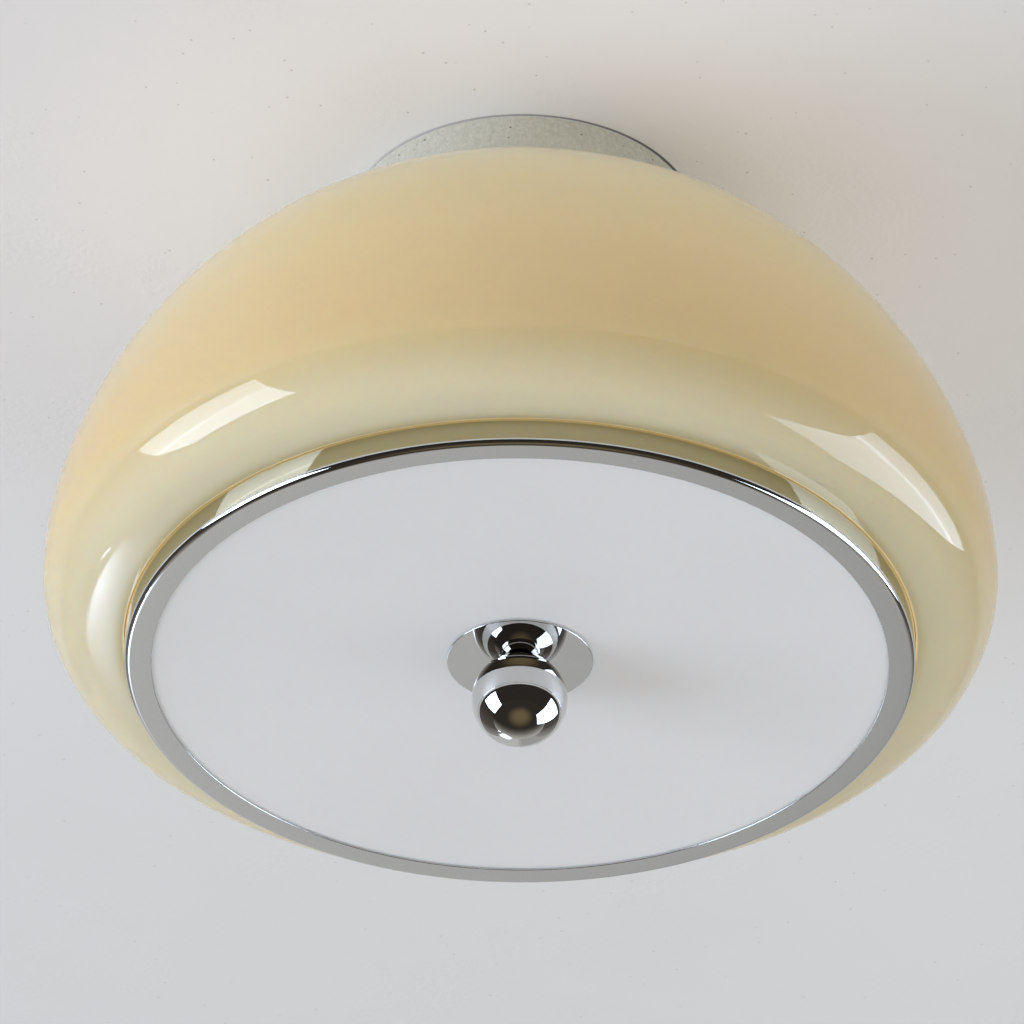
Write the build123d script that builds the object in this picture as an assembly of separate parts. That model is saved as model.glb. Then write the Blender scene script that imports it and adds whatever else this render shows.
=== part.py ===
from build123d import *
import math
import os

os.makedirs("parts", exist_ok=True)

# A flush ceiling light in millimetres, +Z up, with its origin on the ceiling plane at the lamp's axis.
# The pieces stack down from the ceiling: canopy, glass dome, lamps, trim ring with its diffuser, ball.

# Canopy pan and the strap that carries it
CANOPY_RADIUS = 73.0
CANOPY_DEPTH = 25.0
CANOPY_WALL = 1.2
CANOPY_CORNER = 4.0
CEILING_GAP = 0.6
STRAP_WIDTH = 25.0
STRAP_THICKNESS = 2.0
STRAP_BEND = 2.0
STRAP_TAB_DROP = 16.0
STRAP_TAB_PLAY = 0.6
STRAP_HOLE_RADIUS = 2.6
STRAP_HOLE_SPACING = 60.0
STRAP_SLOT_LENGTH = 16.0
STRAP_SLOT_SPACING = 96.0
CABLE_HOLE_RADIUS = 8.0
SIDE_SCREW_DROP = 8.0
SIDE_SCREW_RADIUS = 2.0
SIDE_SCREW_HEAD_RADIUS = 4.5
SIDE_SCREW_HEAD_HEIGHT = 2.6
SIDE_SCREW_REACH = 4.0

# Wiring in the canopy
BLOCK_LENGTH = 32.0
BLOCK_DEPTH = 16.0
BLOCK_HEIGHT = 12.0
BLOCK_OFFSET = 46.0
POLE_PITCH = 10.0
CLAMP_TUBE_RADIUS = 2.4
CLAMP_TUBE_BORE = 1.6
CLAMP_TUBE_RISE = 5.0
CLAMP_SCREW_RADIUS = 1.3
CLAMP_HEAD_RADIUS = 1.9
CLAMP_SCREW_PITCH = 8.0
BLOCK_SCREW_RADIUS = 1.5
BLOCK_SCREW_HEAD_RADIUS = 2.6
BLOCK_SCREW_HEAD_HEIGHT = 1.8
EARTH_OFFSET = 40.0
EARTH_TAG_RADIUS = 4.5
EARTH_TAG_THICKNESS = 0.8
EARTH_TAG_LENGTH = 12.0
EARTH_BARREL_LENGTH = 7.0
EARTH_TAG_WIDTH = 4.6
EARTH_SCREW_RADIUS = 2.0
EARTH_SCREW_HEAD_RADIUS = 3.8
EARTH_SCREW_HEAD_HEIGHT = 2.4
GROMMET_OFFSET = 22.0
GROMMET_BORE = 3.9
GROMMET_NECK = 5.5
GROMMET_FLANGE = 7.5
GROMMET_FLANGE_HEIGHT = 1.5

# Centre rod and the nuts on it
ROD_RADIUS = 5.0
ROD_TOP_SPARE = 3.0
ROD_GRIP = 14.0
THREAD_CLEARANCE = 0.05
ROD_HOLE_CLEARANCE = 0.4
NUT_FLATS = 14.0
NUT_HEIGHT = 4.0
LOCK_WASHER_RADIUS = 9.0
LOCK_WASHER_THICKNESS = 1.0
SLEEVE_WALL = 3.0

# Glass dome, an outline of tangent arcs from the mouth to the flat seat round the neck
GLASS_RADIUS = 200.0
GLASS_WALL = 3.5
SHOULDER_RADIUS = 32.0
LIP_TURN = 4.7
LIP_ROUND = 1.0
HAUNCH_RADIUS = 108.0
HAUNCH_ANGLE = 14.3
CROWN_RADIUS = 120.0
CROWN_ANGLE = 56.0
SEAT_RADIUS = 48.0
NECK_RADIUS = 34.0
GASKET_THICKNESS = 2.0
GASKET_SETBACK = 1.5
PLATE_RADIUS = 52.0
PLATE_THICKNESS = 1.5
PLATE_RIM_HEIGHT = 6.0
PLATE_CORNER = 3.0

# Lamp cluster
LAMP_COUNT = 3
FIRST_LAMP_ANGLE = 30.0
LAMP_RISE = 56.5
HUB_RISE = 27.0
HUB_RADIUS = 18.0
ARM_WIDTH = 30.0
ARM_THICKNESS = 2.0
ARM_BEND = 2.0
ARM_REACH = 26.0
ARM_DROP = 22.0
ARM_ROUND = 6.0
HOLDER_LENGTH = 46.0
HOLDER_RADIUS = 20.5
HOLDER_BASE_RADIUS = 17.0
HOLDER_BASE_LENGTH = 10.0
HOLDER_SHOULDER = 4.0
HOLDER_FLOOR = 16.0
HOLDER_BORE = 14.3
HOLDER_MOUTH_RADIUS = 16.5
HOLDER_MOUTH_DEPTH = 3.0
CONTACT_RADIUS = 3.8
CONTACT_WELL = 3.0
CONTACT_RISE = 4.5
CONTACT_DOME = 1.9
CONTACT_CLEARANCE = 0.1
SHELL_LENGTH = 24.0
SHELL_WALL = 0.6
SHELL_CLEARANCE = 0.2
SHELL_FLOOR_RADIUS = 6.5
CAP_RADIUS = 13.1
CAP_LENGTH = 23.5
CAP_TIP_RADIUS = 4.5
CAP_TIP_LENGTH = 1.5
CAP_CONE_LENGTH = 5.0
LAMP_LENGTH = 78.0
GLOBE_RADIUS = 22.5
HOUSING_LENGTH = 19.5
HOUSING_BULGE = 1.0
HOLDER_SCREW_RADIUS = 1.5
HOLDER_SCREW_HEAD_RADIUS = 2.8
HOLDER_SCREW_HEAD_HEIGHT = 2.0
HOLDER_SCREW_DEPTH = 7.0
HOLDER_SCREW_PITCH = 18.0
SCREW_CLEARANCE = 0.15

# Leads, from the terminal block to the lampholders
LEAD_RADIUS = 1.1
LEAD_ENTRY_RADIUS = 1.4
LEAD_ENTRY_FLOOR = 12.0
LEAD_END_PLAY = 0.2
LIVE_ENTRY_REACH = 8.0
LIVE_ENTRIES = (4.0, 8.0)
NEUTRAL_ENTRY_REACH = 3.0
NEUTRAL_ENTRIES = (-8.0, -4.0)

# Trim ring, diffuser and ball
LIP_CLEARANCE = 0.4
BAND_SHOW = 11.5
RING_WALL = 0.8
RING_HEIGHT = 24.0
RING_FLANGE = 11.4
RING_CORNER = 2.4
DISC_CLEARANCE = 0.5
DISC_THICKNESS = 2.5
DISC_DISH = 4.15
DISC_SEAT_SETBACK = 1.0
DISC_LAND = 2.0
CLIP_COUNT = 6
CLIP_WIDTH = 10.0
CLIP_THICKNESS = 0.8
CLIP_HEIGHT = 9.0
CLIP_REACH = 7.0
WASHER_RADIUS = 30.6
WASHER_THICKNESS = 1.0
WASHER_EDGE = 0.3
STOP_WASHER_RADIUS = 12.0
STOP_WASHER_THICKNESS = 1.5
BALL_RADIUS = 20.0
BALL_SEAT_RADIUS = 6.2
BALL_BORE_SPARE = 2.0

# Heights, from the ceiling down
floor_top = CANOPY_WALL - CANOPY_DEPTH
floor_under = -CANOPY_DEPTH
crown_top = floor_under - GASKET_THICKNESS
crown_under = crown_top - GLASS_WALL
plate_top = crown_under - GASKET_THICKNESS
plate_under = plate_top - PLATE_THICKNESS
haunch_sin = math.sin(math.radians(HAUNCH_ANGLE))
haunch_cos = math.cos(math.radians(HAUNCH_ANGLE))
crown_sin = math.sin(math.radians(CROWN_ANGLE))
crown_cos = math.cos(math.radians(CROWN_ANGLE))
dome_span = GLASS_RADIUS - SEAT_RADIUS - HAUNCH_RADIUS * (1 - haunch_cos) - CROWN_RADIUS * crown_cos
dome_radius = dome_span / (haunch_cos - crown_cos)
haunch_rise = (HAUNCH_RADIUS - dome_radius) * haunch_sin
dome_height = haunch_rise + (dome_radius - CROWN_RADIUS) * crown_sin + CROWN_RADIUS
equator = crown_top - dome_height
trim_under = equator - SHOULDER_RADIUS - BAND_SHOW
lamp_axis = equator + LAMP_RISE
hub_top = lamp_axis + HUB_RISE
hub_under = hub_top - ARM_THICKNESS
disc_rim_under = trim_under + RING_WALL
disc_rim_top = disc_rim_under + DISC_THICKNESS
disc_middle_under = disc_rim_under + DISC_DISH
disc_middle_top = disc_middle_under + DISC_THICKNESS
washer_under = disc_middle_under - WASHER_THICKNESS
rod_bottom = washer_under - ROD_GRIP
rod_top = floor_top + LOCK_WASHER_THICKNESS + NUT_HEIGHT + ROD_TOP_SPARE

# Radii that follow from the glass
shoulder_centre = GLASS_RADIUS - SHOULDER_RADIUS
mouth_radius = shoulder_centre - SHOULDER_RADIUS * math.sin(math.radians(LIP_TURN))
ring_radius = mouth_radius - LIP_CLEARANCE
ring_bore = ring_radius - RING_WALL
flange_bore = ring_radius - RING_FLANGE
rod_hole = ROD_RADIUS + ROD_HOLE_CLEARANCE
nut_bore = ROD_RADIUS + THREAD_CLEARANCE
lamp_angles = [FIRST_LAMP_ANGLE + index * 360 / LAMP_COUNT for index in range(LAMP_COUNT)]


def outline(*points):
    """Closed face through the points, drawn flat."""
    return make_face(Polyline(*points, close=True))


def spin(face, arc=360):
    """Solid of revolution about the lamp's axis from a face drawn as radius and height."""
    return revolve(Plane.XZ * face, Axis.Z, arc)


def tube(outer, inner, low, high):
    """Upright ring with a plain round bore."""
    return spin(outline((inner, low), (outer, low), (outer, high), (inner, high)))


def rod(radius, low, high):
    """Upright round bar."""
    return Pos(0, 0, low) * Cylinder(radius, high - low, align=(Align.CENTER, Align.CENTER, Align.MIN))


def hex_nut(low):
    """Hexagon nut on the centre rod with its corners eased."""
    ease = NUT_FLATS / 2 * 0.12
    corner = NUT_FLATS / 2 / math.cos(math.pi / 6)
    high = low + NUT_HEIGHT
    blank = Pos(0, 0, low) * extrude(RegularPolygon(NUT_FLATS / 2, 6, major_radius=False), NUT_HEIGHT)
    envelope = spin(outline(
        (0, low), (corner - ease, low), (corner, low + ease),
        (corner, high - ease), (corner - ease, high), (0, high),
    ))
    return (blank & envelope) - rod(nut_bore, low, high)


def lock_washer(low):
    """Plain ring for a spring washer on the centre rod."""
    return tube(LOCK_WASHER_RADIUS, rod_hole, low, low + LOCK_WASHER_THICKNESS)


def screw(radius, head_radius, head_height, length):
    """Pan-head screw along Z: the shank hangs below the origin and the head stands above it."""
    head = rod(head_radius, 0, head_height)
    head = fillet(head.edges().sort_by(Axis.Z)[-1:], head_height * 0.6)
    return head + rod(radius, -length, 0)


def bent_sheet(points, bends, width):
    """Bent sheet: an outline in the XZ plane with its corners rounded, extruded both ways along Y."""
    face = outline(*points)
    for (x, z), radius in bends:
        corner = face.vertices().sort_by_distance(Vector(x, z, 0))[0]
        face = fillet(corner, radius)
    return extrude(Plane.XZ * face, width / 2, both=True)


def export(shape, name):
    """Write one node."""
    export_step(shape, f"parts/{name}.step")


def ceiling_bracket():
    """Steel strap under the ceiling with a screw tab at each end."""
    reach = strap_reach()
    inner = reach - STRAP_THICKNESS
    outer_bend = STRAP_BEND + STRAP_THICKNESS
    points = [
        (-reach, -STRAP_TAB_DROP), (-reach, 0), (reach, 0), (reach, -STRAP_TAB_DROP),
        (inner, -STRAP_TAB_DROP), (inner, -STRAP_THICKNESS),
        (-inner, -STRAP_THICKNESS), (-inner, -STRAP_TAB_DROP),
    ]
    bends = [
        ((-reach, 0), outer_bend), ((reach, 0), outer_bend),
        ((-inner, -STRAP_THICKNESS), STRAP_BEND), ((inner, -STRAP_THICKNESS), STRAP_BEND),
    ]
    strap = bent_sheet(points, bends, STRAP_WIDTH)
    strap -= rod(CABLE_HOLE_RADIUS, -STRAP_THICKNESS, 0)
    slot = extrude(SlotOverall(STRAP_SLOT_LENGTH, 2 * STRAP_HOLE_RADIUS), -STRAP_THICKNESS)
    for side in (-1, 1):
        strap -= Pos(side * STRAP_HOLE_SPACING / 2) * rod(STRAP_HOLE_RADIUS, -STRAP_THICKNESS, 0)
        strap -= Pos(side * STRAP_SLOT_SPACING / 2) * slot
    thread = Rot(0, 90, 0) * Cylinder(SIDE_SCREW_RADIUS + THREAD_CLEARANCE, 2 * reach)
    return strap - Pos(0, 0, -SIDE_SCREW_DROP) * thread


def strap_reach():
    """Half the strap's length: its square tab corners clear the pan's round wall."""
    bore = CANOPY_RADIUS - CANOPY_WALL - STRAP_TAB_PLAY
    return math.sqrt(bore ** 2 - (STRAP_WIDTH / 2) ** 2)


def canopy_pan():
    """Spun pan, open to the ceiling, with a rounded lower corner."""
    corner_centre = (CANOPY_RADIUS - CANOPY_CORNER, CANOPY_CORNER - CANOPY_DEPTH)
    inner_corner = CANOPY_CORNER - CANOPY_WALL
    section = make_face([
        Line((rod_hole, floor_under), (corner_centre[0], floor_under)),
        CenterArc(corner_centre, CANOPY_CORNER, -90, 90),
        Line((CANOPY_RADIUS, corner_centre[1]), (CANOPY_RADIUS, -CEILING_GAP)),
        Line((CANOPY_RADIUS, -CEILING_GAP), (CANOPY_RADIUS - CANOPY_WALL, -CEILING_GAP)),
        Line((CANOPY_RADIUS - CANOPY_WALL, -CEILING_GAP), (CANOPY_RADIUS - CANOPY_WALL, corner_centre[1])),
        CenterArc(corner_centre, inner_corner, 0, -90),
        Line((corner_centre[0], floor_top), (rod_hole, floor_top)),
        Line((rod_hole, floor_top), (rod_hole, floor_under)),
    ])
    pan = spin(section)
    side_hole = Rot(0, 90, 0) * Cylinder(SIDE_SCREW_RADIUS + SCREW_CLEARANCE, 2 * CANOPY_RADIUS)
    pan -= Pos(0, 0, -SIDE_SCREW_DROP) * side_hole
    pan -= Pos(0, GROMMET_OFFSET) * rod(GROMMET_NECK, floor_under, floor_top)
    pan -= Pos(0, -EARTH_OFFSET) * rod(EARTH_SCREW_RADIUS + THREAD_CLEARANCE, floor_under, floor_top)
    for side in (-1, 1):
        hole = rod(BLOCK_SCREW_RADIUS + THREAD_CLEARANCE, floor_under, floor_top)
        pan -= Pos(side * POLE_PITCH / 2, BLOCK_OFFSET) * hole
    return pan


def canopy_screws():
    """Two screws through the pan's wall into the strap's tabs."""
    length = CANOPY_RADIUS - strap_reach() + STRAP_THICKNESS + SIDE_SCREW_REACH
    one = screw(SIDE_SCREW_RADIUS, SIDE_SCREW_HEAD_RADIUS, SIDE_SCREW_HEAD_HEIGHT, length)
    right = Pos(CANOPY_RADIUS, 0, -SIDE_SCREW_DROP) * Rot(0, 90, 0) * one
    return Part() + [right, Rot(0, 0, 180) * right]


def pole_places():
    """Middles of the terminal block's three poles."""
    return [(index - 1) * POLE_PITCH for index in range(3)]


def clamp_places():
    """Places of the six clamp screws."""
    return [(x, BLOCK_OFFSET + side * CLAMP_SCREW_PITCH / 2) for x in pole_places() for side in (-1, 1)]


def clamp_height():
    """Height of the clamp tubes' axes."""
    return floor_top + CLAMP_TUBE_RISE


def terminal_block():
    """Three-pole terminal strip standing on the pan's floor."""
    body = Pos(0, BLOCK_OFFSET, floor_top) * Box(
        BLOCK_LENGTH, BLOCK_DEPTH, BLOCK_HEIGHT, align=(Align.CENTER, Align.CENTER, Align.MIN))
    body = fillet(body.edges().filter_by(Axis.Z), BLOCK_DEPTH * 0.12)
    top = floor_top + BLOCK_HEIGHT
    for x in pole_places():
        channel = Rot(90, 0, 0) * Cylinder(CLAMP_TUBE_RADIUS, BLOCK_DEPTH)
        body -= Pos(x, BLOCK_OFFSET, clamp_height()) * channel
    for x, y in clamp_places():
        body -= Pos(x, y) * rod(CLAMP_HEAD_RADIUS + SCREW_CLEARANCE, clamp_height(), top)
    for side in (-1, 1):
        place = Pos(side * POLE_PITCH / 2, BLOCK_OFFSET)
        body -= place * rod(BLOCK_SCREW_RADIUS + SCREW_CLEARANCE, floor_top, top)
        body -= place * rod(BLOCK_SCREW_HEAD_RADIUS + SCREW_CLEARANCE, top - BLOCK_SCREW_HEAD_HEIGHT, top)
    return body


def terminal_tubes():
    """Brass clamp tubes with tapped holes for the clamp screws."""
    tubes = []
    for x in pole_places():
        bar = Cylinder(CLAMP_TUBE_RADIUS, BLOCK_DEPTH) - Cylinder(CLAMP_TUBE_BORE, BLOCK_DEPTH)
        bar = Pos(x, BLOCK_OFFSET, clamp_height()) * Rot(90, 0, 0) * bar
        for screw_x, screw_y in clamp_places():
            if screw_x == x:
                high = clamp_height() + 2 * CLAMP_TUBE_RADIUS
                hole = rod(CLAMP_SCREW_RADIUS + THREAD_CLEARANCE, clamp_height(), high)
                bar -= Pos(screw_x, screw_y) * hole
        tubes.append(bar)
    return Part() + tubes


def terminal_screws():
    """Six clamp screws, each in its well with its tip in a tube."""
    tip = clamp_height() + CLAMP_TUBE_BORE * 0.2
    seat = clamp_height() + CLAMP_TUBE_RADIUS + SCREW_CLEARANCE
    high = floor_top + BLOCK_HEIGHT * 0.92
    one = rod(CLAMP_SCREW_RADIUS, tip, seat) + rod(CLAMP_HEAD_RADIUS, seat, high)
    return Part() + [Pos(x, y) * one for x, y in clamp_places()]


def block_screws():
    """Two screws that hold the terminal strip to the pan's floor."""
    seat = floor_top + BLOCK_HEIGHT - BLOCK_SCREW_HEAD_HEIGHT
    one = screw(BLOCK_SCREW_RADIUS, BLOCK_SCREW_HEAD_RADIUS, BLOCK_SCREW_HEAD_HEIGHT, seat - floor_under)
    return Part() + [Pos(side * POLE_PITCH / 2, BLOCK_OFFSET, seat) * one for side in (-1, 1)]


def earth_tag():
    """Ring tag flat on the pan's floor, with its crimp barrel towards +X."""
    hole = rod(EARTH_SCREW_RADIUS + SCREW_CLEARANCE, 0, EARTH_TAG_THICKNESS)
    ring = rod(EARTH_TAG_RADIUS, 0, EARTH_TAG_THICKNESS)
    tongue = Box(
        EARTH_TAG_WIDTH, EARTH_TAG_LENGTH, EARTH_TAG_THICKNESS, align=(Align.CENTER, Align.MAX, Align.MIN))
    barrel_place = Pos(0, -EARTH_TAG_LENGTH, EARTH_TAG_WIDTH / 2) * Rot(90, 0, 0)
    barrel = barrel_place * Cylinder(EARTH_TAG_WIDTH / 2, EARTH_BARREL_LENGTH)
    hollow = barrel_place * Cylinder(EARTH_TAG_WIDTH / 2 - EARTH_TAG_THICKNESS, EARTH_BARREL_LENGTH)
    tag = ring + tongue + barrel - hollow - hole
    return Pos(0, -EARTH_OFFSET, floor_top) * Rot(0, 0, 90) * tag


def earth_screw():
    """Screw that clamps the earth tag to the pan's floor."""
    seat = floor_top + EARTH_TAG_THICKNESS
    one = screw(EARTH_SCREW_RADIUS, EARTH_SCREW_HEAD_RADIUS, EARTH_SCREW_HEAD_HEIGHT, seat - floor_under)
    return Pos(0, -EARTH_OFFSET, seat) * one


def grommet(sheet_low, sheet_high):
    """Rubber grommet with a neck that fills its hole in a sheet and a flange on each side."""
    low = sheet_low - GROMMET_FLANGE_HEIGHT
    high = sheet_high + GROMMET_FLANGE_HEIGHT
    rim = GROMMET_FLANGE - GROMMET_FLANGE_HEIGHT * 0.4
    section = outline(
        (GROMMET_BORE, low), (rim, low), (GROMMET_FLANGE, sheet_low), (GROMMET_NECK, sheet_low),
        (GROMMET_NECK, sheet_high), (GROMMET_FLANGE, sheet_high), (rim, high), (GROMMET_BORE, high),
    )
    return Pos(0, GROMMET_OFFSET) * spin(section)


def gasket(low):
    """Flat rubber ring on the glass seat round the neck."""
    return tube(SEAT_RADIUS - GASKET_SETBACK, NECK_RADIUS + GASKET_SETBACK, low, low + GASKET_THICKNESS)


def spacer_sleeve():
    """Sleeve round the rod that takes the nut's pull, so that the glass isn't crushed."""
    return tube(rod_hole + SLEEVE_WALL, rod_hole, plate_top, floor_under)


def dome_line(inset):
    """Arcs of the dome's wall, set in by a thickness, with the points where the line starts and ends."""
    haunch_centre = (GLASS_RADIUS - HAUNCH_RADIUS, equator)
    turn = math.asin((shoulder_centre - mouth_radius) / (SHOULDER_RADIUS - inset))
    dome_centre = (
        haunch_centre[0] + (HAUNCH_RADIUS - dome_radius) * haunch_cos,
        haunch_centre[1] + (HAUNCH_RADIUS - dome_radius) * haunch_sin,
    )
    crown_centre = (SEAT_RADIUS, crown_top - CROWN_RADIUS)
    start = -90 - math.degrees(turn)
    arcs = [
        CenterArc((shoulder_centre, equator), SHOULDER_RADIUS - inset, start, -start),
        CenterArc(haunch_centre, HAUNCH_RADIUS - inset, 0, HAUNCH_ANGLE),
        CenterArc(dome_centre, dome_radius - inset, HAUNCH_ANGLE, CROWN_ANGLE - HAUNCH_ANGLE),
        CenterArc(crown_centre, CROWN_RADIUS - inset, CROWN_ANGLE, 90 - CROWN_ANGLE),
    ]
    lip = (mouth_radius, equator - (SHOULDER_RADIUS - inset) * math.cos(turn))
    seat = (SEAT_RADIUS, crown_top - inset)
    return arcs, lip, seat


def glass_shade():
    """Blown dome: a wall of even thickness from the open mouth to the neck hole."""
    outer_arcs, outer_lip, outer_seat = dome_line(0)
    inner_arcs, inner_lip, inner_seat = dome_line(GLASS_WALL)
    section = make_face(outer_arcs + inner_arcs + [
        Line(outer_lip, inner_lip),
        Line(outer_seat, (NECK_RADIUS, crown_top)),
        Line((NECK_RADIUS, crown_top), (NECK_RADIUS, crown_under)),
        Line((NECK_RADIUS, crown_under), inner_seat),
    ])
    rims = [section.vertices().sort_by_distance(Vector(*point, 0))[0] for point in (outer_lip, inner_lip)]
    return spin(fillet(rims, LIP_ROUND))


def holder_plate():
    """Steel plate that clamps the glass from inside, with a turned-down rim."""
    centre = (PLATE_RADIUS - PLATE_CORNER, plate_top - PLATE_CORNER)
    rim_low = plate_top - PLATE_RIM_HEIGHT
    inner_rim = PLATE_RADIUS - PLATE_THICKNESS
    section = make_face([
        Line((rod_hole, plate_top), (centre[0], plate_top)),
        CenterArc(centre, PLATE_CORNER, 90, -90),
        Line((PLATE_RADIUS, centre[1]), (PLATE_RADIUS, rim_low)),
        Line((PLATE_RADIUS, rim_low), (inner_rim, rim_low)),
        Line((inner_rim, rim_low), (inner_rim, centre[1])),
        CenterArc(centre, PLATE_CORNER - PLATE_THICKNESS, 0, 90),
        Line((centre[0], plate_under), (rod_hole, plate_under)),
        Line((rod_hole, plate_under), (rod_hole, plate_top)),
    ])
    return spin(section) - Pos(0, GROMMET_OFFSET) * rod(GROMMET_NECK, plate_under, plate_top)


def holder_screw_places():
    """Offsets of a lampholder's two screws across its arm."""
    return [side * HOLDER_SCREW_PITCH / 2 for side in (-1, 1)]


def lamp_bracket():
    """Hub plate with an arm for each lamp, bent down to a tab that carries the lampholder."""
    inner = ARM_REACH - ARM_THICKNESS
    low = lamp_axis - ARM_DROP
    points = [
        (0, hub_top), (ARM_REACH, hub_top), (ARM_REACH, low),
        (inner, low), (inner, hub_under), (0, hub_under),
    ]
    bends = [((ARM_REACH, hub_top), ARM_BEND + ARM_THICKNESS), ((inner, hub_under), ARM_BEND)]
    arm = bent_sheet(points, bends, ARM_WIDTH)
    arm = fillet(arm.edges().filter_by(Axis.X).group_by(Axis.Z)[0], ARM_ROUND)
    for y in holder_screw_places():
        hole = Rot(0, 90, 0) * Cylinder(HOLDER_SCREW_RADIUS + SCREW_CLEARANCE, 4 * ARM_THICKNESS)
        arm -= Pos(ARM_REACH, y, lamp_axis) * hole
    bracket = rod(HUB_RADIUS, hub_under, hub_top)
    for angle in lamp_angles:
        bracket += Rot(0, 0, angle) * arm
    return bracket - rod(rod_hole, hub_under, hub_top)


def on_arm(shape, angle):
    """Move a shape drawn along +X from a tab's face to its place on an arm."""
    return Rot(0, 0, angle) * Pos(ARM_REACH, 0, lamp_axis) * shape


def lathe(*edges):
    """Solid of revolution about X from edges drawn as distance and radius."""
    return revolve(make_face(edges), Axis.X)


def lampholder():
    """Porcelain body with a stepped base, a bore for the screw shell and wire entries on top."""
    mouth = HOLDER_LENGTH - HOLDER_MOUTH_DEPTH
    well = HOLDER_FLOOR - CONTACT_WELL
    well_radius = CONTACT_RADIUS + CONTACT_CLEARANCE
    body = revolve(outline(
        (0, 0), (0, HOLDER_BASE_RADIUS), (HOLDER_BASE_LENGTH, HOLDER_BASE_RADIUS),
        (HOLDER_BASE_LENGTH + HOLDER_SHOULDER, HOLDER_RADIUS), (HOLDER_LENGTH, HOLDER_RADIUS),
        (HOLDER_LENGTH, HOLDER_MOUTH_RADIUS), (mouth, HOLDER_BORE), (HOLDER_FLOOR, HOLDER_BORE),
        (HOLDER_FLOOR, well_radius), (well, well_radius), (well, 0),
    ), Axis.X)
    for y in holder_screw_places():
        body -= Pos(HOLDER_SCREW_DEPTH / 2, y) * Rot(0, 90, 0) * Cylinder(
            HOLDER_SCREW_RADIUS + THREAD_CLEARANCE, HOLDER_SCREW_DEPTH)
    entry = rod(LEAD_ENTRY_RADIUS, LEAD_ENTRY_FLOOR, HOLDER_BASE_RADIUS)
    for y in LIVE_ENTRIES:
        body -= Pos(LIVE_ENTRY_REACH, y) * entry
    for y in NEUTRAL_ENTRIES:
        body -= Pos(NEUTRAL_ENTRY_REACH, y) * entry
    return body


def screw_shell():
    """Brass lamp shell on the floor of the lampholder's bore."""
    outer = HOLDER_BORE - SHELL_CLEARANCE
    inner = outer - SHELL_WALL
    front = HOLDER_FLOOR + SHELL_LENGTH
    return revolve(outline(
        (HOLDER_FLOOR, SHELL_FLOOR_RADIUS), (HOLDER_FLOOR, outer), (front, outer), (front, inner),
        (HOLDER_FLOOR + SHELL_WALL, inner), (HOLDER_FLOOR + SHELL_WALL, SHELL_FLOOR_RADIUS),
    ), Axis.X)


def contact_tip():
    """Distance from a tab's face to the tip of the centre contact, where the lamp's cap touches."""
    return HOLDER_FLOOR + CONTACT_RISE


def centre_contact():
    """Centre contact with a domed head, in the well of the bore's floor."""
    back = HOLDER_FLOOR - CONTACT_WELL
    neck = contact_tip() - CONTACT_DOME
    curve = (CONTACT_RADIUS ** 2 + CONTACT_DOME ** 2) / (2 * CONTACT_DOME)
    rim_angle = math.degrees(math.asin(CONTACT_RADIUS / curve))
    return lathe(
        Line((back, 0), (back, CONTACT_RADIUS)),
        Line((back, CONTACT_RADIUS), (neck, CONTACT_RADIUS)),
        CenterArc((contact_tip() - curve, 0), curve, 0, rim_angle),
        Line((contact_tip(), 0), (back, 0)),
    )


def globe_flat():
    """Plane where a lamp's housing meets its globe, as a distance from the tab, and the radius there."""
    plane = contact_tip() + CAP_LENGTH + HOUSING_LENGTH
    centre = contact_tip() + LAMP_LENGTH - GLOBE_RADIUS
    return plane, math.sqrt(GLOBE_RADIUS ** 2 - (centre - plane) ** 2)


def lamp_cap():
    """Lamp cap with its contact tip and insulating cone."""
    tip = contact_tip()
    cone = tip + CAP_TIP_LENGTH
    shell = cone + CAP_CONE_LENGTH
    end = tip + CAP_LENGTH
    return revolve(outline(
        (tip, 0), (tip, CAP_TIP_RADIUS), (cone, CAP_TIP_RADIUS),
        (shell, CAP_RADIUS), (end, CAP_RADIUS), (end, 0),
    ), Axis.X)


def lamp_housing():
    """Flared lamp housing between cap and globe."""
    start = contact_tip() + CAP_LENGTH
    plane, radius = globe_flat()
    middle = ((start + plane) / 2, (CAP_RADIUS + radius) / 2 + HOUSING_BULGE)
    return lathe(
        Line((start, 0), (start, CAP_RADIUS)),
        ThreePointArc((start, CAP_RADIUS), middle, (plane, radius)),
        Line((plane, radius), (plane, 0)),
        Line((plane, 0), (start, 0)),
    )


def lamp_globe():
    """Sealed opal globe of a lamp."""
    plane, radius = globe_flat()
    end = contact_tip() + LAMP_LENGTH
    return lathe(
        Line((plane, 0), (plane, radius)),
        ThreePointArc((plane, radius), (end - GLOBE_RADIUS, GLOBE_RADIUS), (end, 0)),
        Line((end, 0), (plane, 0)),
    )


def holder_screws():
    """Two screws for each lampholder, driven from the rod's side of the tab."""
    length = ARM_THICKNESS + HOLDER_SCREW_DEPTH * 0.95
    one = screw(HOLDER_SCREW_RADIUS, HOLDER_SCREW_HEAD_RADIUS, HOLDER_SCREW_HEAD_HEIGHT, length)
    screws = []
    for angle in lamp_angles:
        for y in holder_screw_places():
            screws.append(on_arm(Pos(-ARM_THICKNESS, y) * Rot(0, -90, 0) * one, angle))
    return Part() + screws


def lead(points):
    """Round lead along straight runs joined by arcs as large as the runs allow."""
    radii = []
    for before, point, after in zip(points, points[1:], points[2:]):
        arriving = Vector(*point) - Vector(*before)
        leaving = Vector(*after) - Vector(*point)
        turn = math.radians(arriving.get_angle(leaving))
        radii.append(0.45 * min(arriving.length, leaving.length) / math.tan(turn / 2))
    path = FilletPolyline(*points, radius=radii)
    section = Plane(origin=path @ 0, z_dir=path % 0) * Circle(LEAD_RADIUS)
    print("lead, tightest bend", round(min(radii), 1), "length", round(path.length, 1))
    return sweep(section, path=path)


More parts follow.
